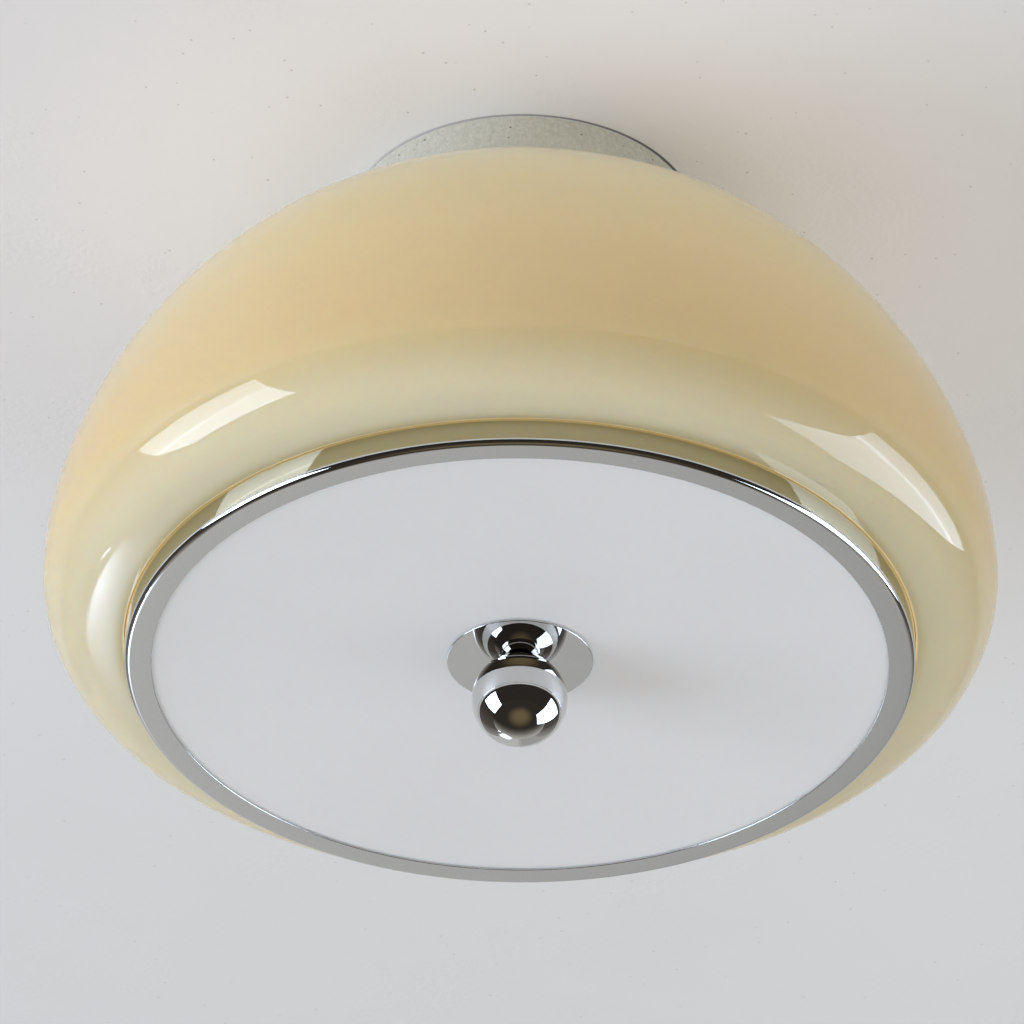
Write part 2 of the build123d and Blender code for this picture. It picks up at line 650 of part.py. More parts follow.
def entry_point(reach, across, angle):
    """Top of a lampholder's wire entry, in the plane of the ceiling."""
    turn = math.radians(angle)
    out = ARM_REACH + reach
    return out * math.cos(turn) - across * math.sin(turn), out * math.sin(turn) + across * math.cos(turn)


def looped_lead(supply, loop):
    """A supply lead to the first lampholder, and the same loop on to each of the others."""
    links = [Rot(0, 0, index * 360 / LAMP_COUNT) * lead(loop) for index in range(LAMP_COUNT - 1)]
    return Part() + [lead(supply)] + links


def live_lead():
    """Live lead, which runs outside the neutral one."""
    first, second = lamp_angles[:2]
    entry_low = lamp_axis + LEAD_ENTRY_FLOOR + LEAD_END_PLAY
    arrive = entry_point(LIVE_ENTRY_REACH, LIVE_ENTRIES[0], first)
    leave = entry_point(LIVE_ENTRY_REACH, LIVE_ENTRIES[1], first)
    arrive_next = entry_point(LIVE_ENTRY_REACH, LIVE_ENTRIES[0], second)
    clamp = clamp_height()
    block_face = BLOCK_OFFSET - BLOCK_DEPTH / 2
    supply = [
        (-POLE_PITCH, block_face + 2, clamp), (-POLE_PITCH + 1.5, block_face - 6, clamp + 1),
        (-1.8, GROMMET_OFFSET + 0.5, clamp - 1), (-1.8, GROMMET_OFFSET, clamp - 17),
        (-1.6, GROMMET_OFFSET, lamp_axis + 72), (6, 28, lamp_axis + 56), (20, 27, lamp_axis + 41),
        (arrive[0] - 0.1, arrive[1] + 0.2, lamp_axis + 29), (arrive[0], arrive[1], entry_low),
    ]
    loop = [
        (leave[0], leave[1], entry_low), (leave[0], leave[1] + 0.2, lamp_axis + 24), (19, 31, lamp_axis + 34),
        (0, 37, lamp_axis + 38), (-18, 33, lamp_axis + 36), (-29, 25, lamp_axis + 31),
        (arrive_next[0] - 0.1, arrive_next[1] + 0.2, lamp_axis + 23),
        (arrive_next[0], arrive_next[1], entry_low),
    ]
    return looped_lead(supply, loop)


def neutral_lead():
    """Neutral lead, which runs nearer to the rod."""
    first, second = lamp_angles[:2]
    entry_low = lamp_axis + LEAD_ENTRY_FLOOR + LEAD_END_PLAY
    arrive = entry_point(NEUTRAL_ENTRY_REACH, NEUTRAL_ENTRIES[0], first)
    leave = entry_point(NEUTRAL_ENTRY_REACH, NEUTRAL_ENTRIES[1], first)
    arrive_next = entry_point(NEUTRAL_ENTRY_REACH, NEUTRAL_ENTRIES[0], second)
    clamp = clamp_height()
    block_face = BLOCK_OFFSET - BLOCK_DEPTH / 2
    supply = [
        (POLE_PITCH, block_face + 2, clamp), (POLE_PITCH - 1.5, block_face - 6, clamp + 1),
        (1.8, GROMMET_OFFSET + 0.5, clamp - 1), (1.8, GROMMET_OFFSET, clamp - 17),
        (1.6, GROMMET_OFFSET, lamp_axis + 64), (12, 18, lamp_axis + 48), (24, 11, lamp_axis + 39),
        (arrive[0] - 0.1, arrive[1] + 0.2, lamp_axis + 27), (arrive[0], arrive[1], entry_low),
    ]
    loop = [
        (leave[0], leave[1], entry_low), (leave[0], leave[1] + 0.2, lamp_axis + 25), (18, 21, lamp_axis + 33),
        (0, 27, lamp_axis + 36), (-17, 24, lamp_axis + 31),
        (arrive_next[0], arrive_next[1] + 0.3, lamp_axis + 23), (arrive_next[0], arrive_next[1], entry_low),
    ]
    return looped_lead(supply, loop)


def earth_lead():
    """Earth lead, over the neutral lead and round the rod to the tag."""
    clamp = clamp_height()
    block_face = BLOCK_OFFSET - BLOCK_DEPTH / 2
    barrel_height = floor_top + EARTH_TAG_WIDTH / 2
    return lead([
        (0, block_face + 2, clamp), (0.8, block_face - 6, clamp + 1.2),
        (8, GROMMET_OFFSET + 0.5, clamp + 4), (19, 13, clamp + 1.8), (25, 0, clamp + 0.3),
        (27, -14, clamp - 0.2), (26.5, 12 - EARTH_OFFSET, clamp - 0.7),
        (24, 3 - EARTH_OFFSET, clamp - 1.8), (18.5, -EARTH_OFFSET - 0.1, barrel_height + 0.1),
        (EARTH_TAG_LENGTH, -EARTH_OFFSET, barrel_height),
    ])


def trim_ring():
    """Chrome ring: an upright band in the glass mouth with a rounded corner and a flange turned in."""
    centre = (ring_radius - RING_CORNER, trim_under + RING_CORNER)
    top = trim_under + RING_HEIGHT
    return spin(make_face([
        Line((flange_bore, trim_under), (centre[0], trim_under)),
        CenterArc(centre, RING_CORNER, -90, 90),
        Line((ring_radius, centre[1]), (ring_radius, top)),
        Line((ring_radius, top), (ring_bore, top)),
        Line((ring_bore, top), (ring_bore, centre[1])),
        CenterArc(centre, RING_CORNER - RING_WALL, 0, -90),
        Line((centre[0], disc_rim_under), (flange_bore, disc_rim_under)),
        Line((flange_bore, disc_rim_under), (flange_bore, trim_under)),
    ]))


def disc_arc(rim_height):
    """One face of the dished diffuser, from its flat rim up to its flat middle."""
    seat = flange_bore + DISC_SEAT_SETBACK
    land = WASHER_RADIUS + DISC_LAND
    middle = land + (seat - land) / 2
    high = rim_height + DISC_DISH
    sag = DISC_DISH * ((middle - land) / (seat - land)) ** 2
    return ThreePointArc((seat, rim_height), (middle, high - sag), (land, high))


def diffuser_disc():
    """Opal disc, dished up a little to a flat land that the washer bears on."""
    edge = ring_radius - RING_CORNER - DISC_CLEARANCE
    seat = flange_bore + DISC_SEAT_SETBACK
    land = WASHER_RADIUS + DISC_LAND
    return spin(make_face([
        Line((edge, disc_rim_under), (seat, disc_rim_under)),
        disc_arc(disc_rim_under),
        Line((land, disc_middle_under), (rod_hole, disc_middle_under)),
        Line((rod_hole, disc_middle_under), (rod_hole, disc_middle_top)),
        Line((rod_hole, disc_middle_top), (land, disc_middle_top)),
        disc_arc(disc_rim_top),
        Line((seat, disc_rim_top), (edge, disc_rim_top)),
        Line((edge, disc_rim_top), (edge, disc_rim_under)),
    ]))


def ring_clips():
    """Spring clips on the band's inner face that press the disc down on the flange."""
    high = disc_rim_top + CLIP_HEIGHT
    step = disc_rim_top + CLIP_THICKNESS
    section = outline(
        (ring_bore - CLIP_REACH, disc_rim_top), (ring_bore, disc_rim_top), (ring_bore, high),
        (ring_bore - CLIP_THICKNESS, high), (ring_bore - CLIP_THICKNESS, step),
        (ring_bore - CLIP_REACH, step),
    )
    arc = math.degrees(CLIP_WIDTH / ring_bore)
    one = spin(section, arc)
    return Part() + [Rot(0, 0, index * 360 / CLIP_COUNT) * one for index in range(CLIP_COUNT)]


def finial_washer():
    """Mirror washer under the disc, with its edge eased."""
    section = outline(
        (rod_hole, washer_under), (WASHER_RADIUS - WASHER_EDGE, washer_under),
        (WASHER_RADIUS, washer_under + WASHER_EDGE), (WASHER_RADIUS, disc_middle_under - WASHER_EDGE),
        (WASHER_RADIUS - WASHER_EDGE, disc_middle_under), (rod_hole, disc_middle_under),
    )
    return spin(section)


def stop_washer():
    """Fibre washer that the disc comes up against."""
    return tube(STOP_WASHER_RADIUS, rod_hole, disc_middle_top, disc_middle_top + STOP_WASHER_THICKNESS)


def finial_ball():
    """Ball nut: a sphere with a flat seat for the washer and a blind bore for the rod."""
    centre = washer_under - math.sqrt(BALL_RADIUS ** 2 - BALL_SEAT_RADIUS ** 2)
    bottom = centre - BALL_RADIUS
    ball = spin(make_face([
        Line((0, bottom), (0, washer_under)),
        Line((0, washer_under), (BALL_SEAT_RADIUS, washer_under)),
        ThreePointArc((BALL_SEAT_RADIUS, washer_under), (BALL_RADIUS, centre), (0, bottom)),
    ]))
    return ball - rod(nut_bore, rod_bottom - BALL_BORE_SPARE, washer_under)


export(ceiling_bracket(), "ceiling_bracket")
export(canopy_pan(), "canopy_pan")
export(canopy_screws(), "canopy_screws")
export(terminal_block(), "terminal_block")
export(terminal_tubes(), "terminal_tubes")
export(terminal_screws(), "terminal_screws")
export(block_screws(), "block_screws")
export(earth_tag(), "earth_tag")
export(earth_screw(), "earth_screw")
export(grommet(floor_under, floor_top), "canopy_grommet")
export(rod(ROD_RADIUS, rod_bottom, rod_top), "centre_rod")
export(lock_washer(floor_top), "top_lock_washer")
export(hex_nut(floor_top + LOCK_WASHER_THICKNESS), "top_nut")
export(gasket(crown_top), "upper_gasket")
export(spacer_sleeve(), "spacer_sleeve")
export(glass_shade(), "glass_shade")
export(gasket(plate_top), "lower_gasket")
export(holder_plate(), "holder_plate")
export(grommet(plate_under, plate_top), "plate_grommet")
export(lock_washer(plate_under - LOCK_WASHER_THICKNESS), "plate_lock_washer")
export(hex_nut(plate_under - LOCK_WASHER_THICKNESS - NUT_HEIGHT), "plate_nut")
export(lamp_bracket(), "lamp_bracket")
export(lock_washer(hub_top), "bracket_lock_washer")
export(hex_nut(hub_top + LOCK_WASHER_THICKNESS), "bracket_nut_upper")
export(hex_nut(hub_under - NUT_HEIGHT), "bracket_nut_lower")
export(holder_screws(), "holder_screws")
for number, lamp_angle in enumerate(lamp_angles, start=1):
    export(on_arm(lampholder(), lamp_angle), f"lampholder_{number}")
    export(on_arm(screw_shell(), lamp_angle), f"screw_shell_{number}")
    export(on_arm(centre_contact(), lamp_angle), f"centre_contact_{number}")
    export(on_arm(lamp_cap(), lamp_angle), f"lamp_cap_{number}")
    export(on_arm(lamp_housing(), lamp_angle), f"lamp_housing_{number}")
    export(on_arm(lamp_globe(), lamp_angle), f"lamp_globe_{number}")
export(earth_lead(), "earth_lead")
export(live_lead(), "live_lead")
export(neutral_lead(), "neutral_lead")
export(stop_washer(), "stop_washer")
export(hex_nut(disc_middle_top + STOP_WASHER_THICKNESS), "stop_nut")
export(trim_ring(), "trim_ring")
export(ring_clips(), "ring_clips")
export(diffuser_disc(), "diffuser_disc")
export(finial_washer(), "finial_washer")
export(finial_ball(), "finial_ball")
print("trim ring underside", round(trim_under, 2), "ring radius", round(ring_radius, 2))
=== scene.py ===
import math

import bmesh
import bpy
from mathutils import Matrix, Vector


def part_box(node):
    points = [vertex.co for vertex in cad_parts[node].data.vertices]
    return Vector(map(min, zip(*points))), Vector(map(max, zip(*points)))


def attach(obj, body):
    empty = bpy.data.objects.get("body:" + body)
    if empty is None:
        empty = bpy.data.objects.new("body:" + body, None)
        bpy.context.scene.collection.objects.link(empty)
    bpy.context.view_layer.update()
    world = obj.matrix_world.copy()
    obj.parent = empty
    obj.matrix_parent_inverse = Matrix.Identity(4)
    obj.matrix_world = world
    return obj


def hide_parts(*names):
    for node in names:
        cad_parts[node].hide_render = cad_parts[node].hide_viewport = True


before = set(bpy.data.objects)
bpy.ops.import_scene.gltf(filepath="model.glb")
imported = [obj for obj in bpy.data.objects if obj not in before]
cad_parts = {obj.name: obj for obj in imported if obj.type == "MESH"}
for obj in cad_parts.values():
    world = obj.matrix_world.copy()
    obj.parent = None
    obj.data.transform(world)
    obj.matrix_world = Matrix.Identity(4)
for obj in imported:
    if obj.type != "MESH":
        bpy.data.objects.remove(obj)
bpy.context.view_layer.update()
MM = 0.001

# Sizes that the turned pieces share, in metres
ROUND_STEPS = 256
GLASS_WALL = 3.5 * MM
SHOULDER_DROP = 32.0 * MM
SHOULDER_CORNER = 24.0 * MM
CORNER_START = math.radians(38.0)
CORNER_END = math.radians(76.0)
LIP_ANGLE = math.radians(88.0)
LIP_GAP = 0.25 * MM
LIP_ROUND = 0.5 * MM
HAUNCH_RADIUS = 108.0 * MM
HAUNCH_ANGLE = math.radians(14.3)
CROWN_RADIUS = 120.0 * MM
CROWN_ANGLE = math.radians(56.0)
SEAT_RADIUS = 48.0 * MM
NECK_RADIUS = 34.0 * MM
CANOPY_WALL = 1.2 * MM
CANOPY_CORNER = 4.0 * MM
ROD_HOLE = 5.4 * MM
RING_WALL = 0.8 * MM
RING_CORNER = 2.4 * MM
FLANGE_WIDTH = 11.4 * MM
DISC_OVERLAP = 1.0 * MM
DISC_THICKNESS = 2.5 * MM
DISC_LAND = 32.6 * MM
BALL_RADIUS = 20.0 * MM
BALL_SEAT_RADIUS = 6.2 * MM
BALL_BORE = 5.05 * MM
BALL_BORE_DEPTH = 16.0 * MM
EDGE_ROUND = 0.3 * MM
RING_EDGE_ROUND = 0.25 * MM
BALL_EDGE_ROUND = 0.15 * MM
BALL_STEPS = 144
SHARP_ANGLE = math.radians(40)
WELD_DISTANCE = 2e-6

# Each screw's head radius, head height and shank radius
SIDE_SCREW = (4.5 * MM, 2.6 * MM, 2.0 * MM)
SIDE_SCREW_LENGTH = 8.9 * MM
BLOCK_SCREW = (2.6 * MM, 1.8 * MM, 1.5 * MM)
EARTH_SCREW = (3.8 * MM, 2.4 * MM, 2.0 * MM)
CLAMP_SCREW = (1.9 * MM, 3.49 * MM, 1.3 * MM)
POLE_PITCH = 10.0 * MM

# Slots and rounded heads, as shares of the head's radius or height
SLOT_HALF_WIDTH = 0.11
SLOT_HALF_LENGTH = 0.62
SLOT_DEPTH = 0.45
HEAD_ROUND_OF_HEIGHT = 0.4
HEAD_ROUND_OF_RADIUS = 0.3

# How far each slot is turned, in radians
SIDE_SLOT_TURNS = (0.4, -0.9)
FIRST_SLOT_TURN = 0.7
COLUMN_SLOT_TURN = 1.9
ROW_SLOT_TURN = 0.8

# Where the glass changes tone, in metres
TONE_FOOT = -0.222
TONE_TOP = -0.03
RIM_WIDTH = 6.0 * MM
RIM_EDGE = 1.2 * MM
RIM_LOW = 6.0 * MM
RIM_HIGH = 8.0 * MM
# Strength of the painted glow at the lip: light through the glass painted on as emission
PAINTED_LIP_GLOW = 0.48

# The room, in metres
CEILING_RADIUS = 5.0
WALL_RADIUS = 3.0
WALL_FOOT = -2.3
WALL_TOP = -0.03
HALF_OPENING = math.radians(26)
FLOOR_LEVEL = -2.2
FLOOR_HALF_WIDTH = 3.0
FLOOR_HALF_DEPTH = 2.8
FLOOR_SHIFT = -0.2
DOORWAY_WIDTH = 1.0
DOORWAY_TALL = 0.85
SLIT_WIDTH = 0.04
SLIT_TALL = 0.26

# Colours and levels of the room's light
DAYLIGHT = (0.87, 0.988, 1.26)
PLAIN_LIGHT = (1, 1, 1)
PANE_TINT = (0.86, 1.0, 1.25, 1)
DOORWAY_TINT = (0.86, 1.0, 1.3, 1)
CREST_SPREAD = 0.035
ROOM_LEFT = 0.58
ROOM_RIGHT = 0.40
ROOM_BLEND = 0.05
ROOM_LIGHT = 0.71

# The camera: metres and radians, and millimetres for the lens and the sensor
CAMERA_DISTANCE = 5.0
CAMERA_ELEVATION = 0.591943
CAMERA_TILT = 0.013133
CAMERA_PAN = 0.000743
CAMERA_ROLL = 0.006671
CAMERA_LENS = 421.67
CAMERA_SENSOR = 36.0

# Heights and radii that come from the solids
glass_low, glass_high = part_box("glass_shade")
pan_low, pan_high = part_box("canopy_pan")
ring_low, ring_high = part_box("trim_ring")
disc_low, disc_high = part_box("diffuser_disc")
washer_low, washer_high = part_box("finial_washer")
ball_low, ball_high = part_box("finial_ball")


def outline_from(radius, height):
    """Start a turned outline at a radius and a height."""
    mesh = bmesh.new()
    mesh.verts.new((radius, 0, height))
    return mesh


def tip_of(mesh):
    """The outline's last point."""
    mesh.verts.ensure_lookup_table()
    return mesh.verts[-1]


def straight_to(mesh, radius, height):
    """Carry the outline straight on to a point."""
    grown = bmesh.ops.extrude_vert_indiv(mesh, verts=[tip_of(mesh)])
    grown["verts"][0].co = (radius, 0, height)


def arc_about(mesh, radius, height, angle, steps):
    """Carry the outline round a centre, anticlockwise where the angle is positive."""
    bmesh.ops.spin(
        mesh, geom=[tip_of(mesh)], cent=(radius, 0, height), axis=(0, -1, 0), angle=angle, steps=steps)


def turned(mesh, steps=ROUND_STEPS):
    """Turn the outline about the lamp's axis into a closed skin."""
    bmesh.ops.spin(
        mesh, geom=mesh.verts[:] + mesh.edges[:], cent=(0, 0, 0), axis=(0, 0, 1),
        angle=2 * math.pi, steps=steps, use_merge=True)
    bmesh.ops.remove_doubles(mesh, verts=mesh.verts, dist=WELD_DISTANCE)
    bmesh.ops.recalc_face_normals(mesh, faces=mesh.faces)
    return mesh


def eased(mesh, width, segments=2, least_turn=0.6):
    """Round off every edge that turns by more than an angle."""
    sharp = [e for e in mesh.edges if len(e.link_faces) == 2 and e.calc_face_angle(0) > least_turn]
    bmesh.ops.bevel(
        mesh, geom=sharp, offset=width, offset_type="OFFSET", affect="EDGES",
        segments=segments, profile=0.5, material=-1)
    return mesh


def piece(name, mesh, finish, body, slot, *nodes):
    """Finish a mesh as a piece that rides on a body and stands for its nodes."""
    data = bpy.data.meshes.new(name)
    mesh.to_mesh(data)
    mesh.free()
    data.shade_smooth()
    data.set_sharp_from_angle(angle=SHARP_ANGLE)
    data.materials.append(finish)
    made = bpy.data.objects.new(name, data)
    bpy.context.scene.collection.objects.link(made)
    made.modifiers.new("flat_faces", "WEIGHTED_NORMAL").keep_sharp = True
    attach(made, body)
    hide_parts(*nodes)


# Finishes
def grey(level):
    """A grey at a level from 0 to 1."""
    return (level, level, level, 1)


def linear(red, green, blue):
    """A colour from the 0 to 255 values that it shows at."""
    shown = [value / 255 for value in (red, green, blue)]
    level = [v / 12.92 if v <= 0.04045 else ((v + 0.055) / 1.055) ** 2.4 for v in shown]
    return (*level, 1.0)


class Finish:
    """A surface shader with the textures that feed it, on the piece's own coordinates."""

    def __init__(self, name, **sockets):
        self.material = bpy.data.materials.new(name)
        self.material.use_nodes = True
        self.nodes = self.material.node_tree.nodes
        self.links = self.material.node_tree.links
        self.shader = self.nodes["Principled BSDF"]
        self.place = self.nodes.new("ShaderNodeTexCoord").outputs["Object"]
        for socket, value in sockets.items():
            self.shader.inputs[socket.replace("_", " ")].default_value = value

    def stretched(self, x, y, z):
        """The piece's coordinates, scaled along each axis."""
        node = self.nodes.new("ShaderNodeMapping")
        node.inputs["Scale"].default_value = (x, y, z)
        self.links.new(self.place, node.inputs["Vector"])
        return node.outputs["Vector"]

    def noise(self, scale, detail=3.0, roughness=0.5, place=None):
        """Cloudy noise, with its scale in spots to the metre."""
        node = self.nodes.new("ShaderNodeTexNoise")
        node.inputs["Scale"].default_value = scale
        node.inputs["Detail"].default_value = detail
        node.inputs["Roughness"].default_value = roughness
        self.links.new(place or self.place, node.inputs["Vector"])
        return node.outputs["Fac"]

    def cells(self, scale):
        """Distance to the nearest of scattered points."""
        node = self.nodes.new("ShaderNodeTexVoronoi")
        node.inputs["Scale"].default_value = scale
        self.links.new(self.place, node.inputs["Vector"])
        return node.outputs["Distance"]

    def ranged(self, value, low, high, new_low, new_high, smooth=False):
        """A value moved from one range to another."""
        node = self.nodes.new("ShaderNodeMapRange")
        node.interpolation_type = "SMOOTHSTEP" if smooth else "LINEAR"
        self.links.new(value, node.inputs["Value"])
        node.inputs["From Min"].default_value = low
        node.inputs["From Max"].default_value = high
        node.inputs["To Min"].default_value = new_low
        node.inputs["To Max"].default_value = new_high
        return node.outputs["Result"]

    def ramp(self, value, *stops):
        """Colours along a value."""
        node = self.nodes.new("ShaderNodeValToRGB")
        band = node.color_ramp
        band.elements[0].position, band.elements[0].color = stops[0]
        band.elements[1].position, band.elements[1].color = stops[-1]
        for position, colour in stops[1:-1]:
            band.elements.new(position).color = colour
        self.links.new(value, node.inputs["Fac"])
        return node.outputs["Color"]

    def mixed(self, share, first, second):
        """One colour laid over another by a share."""
        node = self.nodes.new("ShaderNodeMix")
        node.data_type = "RGBA"
        for socket, source in ((0, share), (6, first), (7, second)):
            if isinstance(source, (tuple, float)):
                node.inputs[socket].default_value = source
            else:
                self.links.new(source, node.inputs[socket])
        return node.outputs[2]

    def along(self, axis):
        """Distance along one axis of the piece's coordinates."""
        node = self.nodes.new("ShaderNodeSeparateXYZ")
        self.links.new(self.place, node.inputs["Vector"])
        return node.outputs[axis]

    def radius(self):
        """Distance from the lamp's axis."""
        node = self.nodes.new("ShaderNodeVectorMath")
        node.operation = "LENGTH"
        self.links.new(self.stretched(1, 1, 0), node.inputs[0])
        return node.outputs["Value"]

    def product(self, first, second):
        """Two values multiplied."""
        node = self.nodes.new("ShaderNodeMath")
        node.operation = "MULTIPLY"
        self.links.new(first, node.inputs[0])
        self.links.new(second, node.inputs[1])
        return node.outputs[0]

    def distance(self, x, y, z):
        """Distance from a point of the piece's coordinates."""
        node = self.nodes.new("ShaderNodeVectorMath")
        node.operation = "DISTANCE"
        node.inputs[1].default_value = (x, y, z)
        self.links.new(self.place, node.inputs[0])
        return node.outputs["Value"]

    def feed(self, socket, value):
        """Lead a texture into one of the shader's sockets."""
        self.links.new(value, self.shader.inputs[socket])

    def bump(self, *layers):
        """Stack bumps: each layer is a texture, its depth in metres and its strength."""
        normal = None
        for value, depth, strength in layers:
            node = self.nodes.new("ShaderNodeBump")
            node.inputs["Strength"].default_value = strength
            node.inputs["Distance"].default_value = depth
            self.links.new(value, node.inputs["Height"])
            if normal:
                self.links.new(normal, node.inputs["Normal"])
            normal = node.outputs["Normal"]
        self.feed("Normal", normal)


def mottled(name, dark, light, scale, rough, grain, **sockets):
    """A plain finish with a cloudy colour, an uneven gloss and a fine grain."""
    made = Finish(name, **sockets)
    made.feed("Base Color", made.ramp(made.noise(scale), (0.3, dark), (0.7, light)))
    made.feed("Roughness", made.ranged(made.noise(scale * 2.7), 0.3, 0.7, *rough))
    fineness, depth = grain
    made.bump((made.noise(fineness), depth, 0.6))
    return made.material


def canopy_paint():
    """Hammered warm grey enamel with scattered pits."""
    made = Finish("canopy_paint", Specular_IOR_Level=0.4)
    grain = made.noise(520, 2.0, 0.6)
    tone = made.ramp(grain, (0.3, linear(181, 179, 164)), (0.7, linear(198, 197, 183)))
    pits = made.ranged(made.cells(165), 0.05, 0.11, 0.0, 1.0, smooth=True)
    made.feed("Base Color", made.mixed(pits, linear(134, 130, 116), tone))
    made.feed("Roughness", made.ranged(made.noise(240), 0.3, 0.7, 0.36, 0.5))
    dents = made.ranged(made.cells(560), 0.0, 0.6, 0.0, 1.0, smooth=True)
    made.bump((dents, 0.22 * MM, 0.8), (pits, 0.6 * MM, 0.9))
    return made.material


def shade_glass():
    """Cased opal glass: warm cream over the dome, paler on its underside, amber at the lip, with a painted
    glow along the lip's edge.
    """
    made = Finish(
        "shade_glass", Roughness=0.03, IOR=1.5, Subsurface_Weight=1.0, Subsurface_Scale=0.012,
        Subsurface_Radius=(1.0, 0.62, 0.3))
    level = made.ranged(made.along("Z"), TONE_FOOT, TONE_TOP, 0.0, 1.0)
    warmth = made.ramp(
        level, (0.0, linear(219, 203, 172)), (0.03, linear(216, 199, 166)), (0.077, linear(210, 190, 150)),
        (0.128, linear(213, 185, 136)), (0.19, linear(220, 186, 136)), (0.45, linear(238, 198, 146)),
        (1.0, linear(246, 212, 158)))
    cloud = made.ranged(made.noise(9), 0.35, 0.65, 0.0, 0.1)
    body = made.mixed(cloud, warmth, linear(226, 212, 178))
    mouth = ring_high.x + LIP_GAP
    # The lip's amber is partly the glass's amber layer at its cut edge and partly painted light, standing in
    # for light through the glass
    low = made.ranged(made.along("Z"), glass_low.z + RIM_LOW, glass_low.z + RIM_HIGH, 1.0, 0.0)
    rim = made.product(made.ranged(made.radius(), mouth, mouth + RIM_WIDTH, 1.0, 0.0, smooth=True), low)
    made.feed("Base Color", made.mixed(rim, body, linear(214, 191, 148)))
    # Painted glow: the lip's edge gives off light, standing in for light carried through the glass
    edge = made.product(made.ranged(made.radius(), mouth, mouth + RIM_EDGE, 1.0, 0.0, smooth=True), low)
    made.feed("Emission Color", made.mixed(edge, grey(0.0), linear(228, 201, 152)))
    made.shader.inputs["Emission Strength"].default_value = PAINTED_LIP_GLOW
    made.bump((made.noise(14, 2.0), 0.5 * MM, 0.12))
    return made.material


def polished_chrome():
    """Bright chrome plate with faint upright brushing; the upright band is painted dark olive, a painted
    reflection of the glass above it.
    """
    made = Finish("trim_chrome", Metallic=1.0, Specular_IOR_Level=0.5)
    brushing = made.noise(1.0, 2.0, place=made.stretched(900, 900, 12))
    bright = made.ramp(brushing, (0.3, (0.69, 0.69, 0.68, 1)), (0.7, (0.71, 0.71, 0.70, 1)))
    # Painted reflection: above the corner the band is coloured dark olive, standing in for the glass lip that
    # it reflects
    corner, band = ring_low.z + 1.8 * MM, ring_low.z + 2.6 * MM
    upright = made.ranged(made.along("Z"), corner, band, 0.0, 1.0, smooth=True)
    made.feed("Base Color", made.mixed(upright, bright, (0.56, 0.53, 0.41, 1)))
    made.feed("Roughness", made.ranged(brushing, 0.3, 0.7, 0.02, 0.06))
    made.bump((brushing, 0.01 * MM, 0.02))
    return made.material


def mirror_chrome():
    """Mirror chrome with a trace of polishing haze."""
    made = Finish("mirror_chrome", Metallic=1.0)
    haze = made.noise(70)
    made.feed("Base Color", made.ramp(haze, (0.3, (0.70, 0.70, 0.69, 1)), (0.7, (0.74, 0.74, 0.73, 1))))
    made.feed("Roughness", made.ranged(made.noise(350), 0.3, 0.7, 0.01, 0.035))
    return made.material


def diffuser_acrylic():
    """Opal acrylic with a satin face."""
    made = Finish("diffuser_acrylic", IOR=1.49, Subsurface_Weight=0.15, Subsurface_Scale=0.004)
    cloud = made.noise(7)
    made.feed("Base Color", made.ramp(cloud, (0.3, linear(211, 210, 208)), (0.7, linear(215, 214, 212))))
    made.feed("Roughness", made.ranged(made.noise(90), 0.3, 0.7, 0.5, 0.6))
    made.bump((made.noise(1800), 0.01 * MM, 0.2))
    return made.material


def spring_steel():
    """Tempered strip, brushed along its bends."""
    made = Finish("spring_steel", Metallic=1.0)
    grain = made.noise(1.0, 3.0, place=made.stretched(300, 300, 2600))
    made.feed("Base Color", made.ramp(grain, (0.3, (0.30, 0.31, 0.34, 1)), (0.7, (0.46, 0.45, 0.45, 1))))
    made.feed("Roughness", made.ranged(grain, 0.3, 0.7, 0.28, 0.42))
    made.bump((grain, 0.02 * MM, 0.3))
    return made.material


def fibre_sheet():
    """Red vulcanised fibre with flecks pressed flat."""
    made = Finish("fibre_washer", Specular_IOR_Level=0.3)
    flecks = made.noise(1.0, 4.0, 0.6, place=made.stretched(1400, 500, 2200))
    made.feed("Base Color", made.ramp(flecks, (0.3, (0.30, 0.07, 0.04, 1)), (0.7, (0.46, 0.15, 0.09, 1))))
    made.feed("Roughness", made.ranged(flecks, 0.3, 0.7, 0.6, 0.8))
    made.bump((flecks, 0.05 * MM, 0.5))
    return made.material


def earth_stripes():
    """Insulation in green and yellow, striped at a slant."""
    made = Finish("earth_insulation", Roughness=0.42)
    slant = made.nodes.new("ShaderNodeTexWave")
    slant.bands_direction = "DIAGONAL"
    slant.inputs["Scale"].default_value = 22
    slant.inputs["Distortion"].default_value = 0.4
    made.links.new(made.place, slant.inputs["Vector"])
    made.feed("Base Color", made.ramp(
        slant.outputs["Fac"], (0.46, (0.06, 0.30, 0.07, 1)), (0.54, (0.74, 0.60, 0.05, 1))))
    made.bump((made.noise(900), 0.03 * MM, 0.4))
    return made.material


def turned_aluminium():
    """Bare aluminium cap with fine turning marks."""
    made = Finish("lamp_cap_metal", Metallic=1.0)
    marks = made.noise(1.0, 3.0, place=made.stretched(2600, 2600, 400))
    made.feed("Base Color", made.ramp(marks, (0.3, (0.62, 0.62, 0.62, 1)), (0.7, (0.76, 0.76, 0.75, 1))))
    made.feed("Roughness", made.ranged(marks, 0.3, 0.7, 0.22, 0.38))
    made.bump((marks, 0.02 * MM, 0.3))
    return made.material


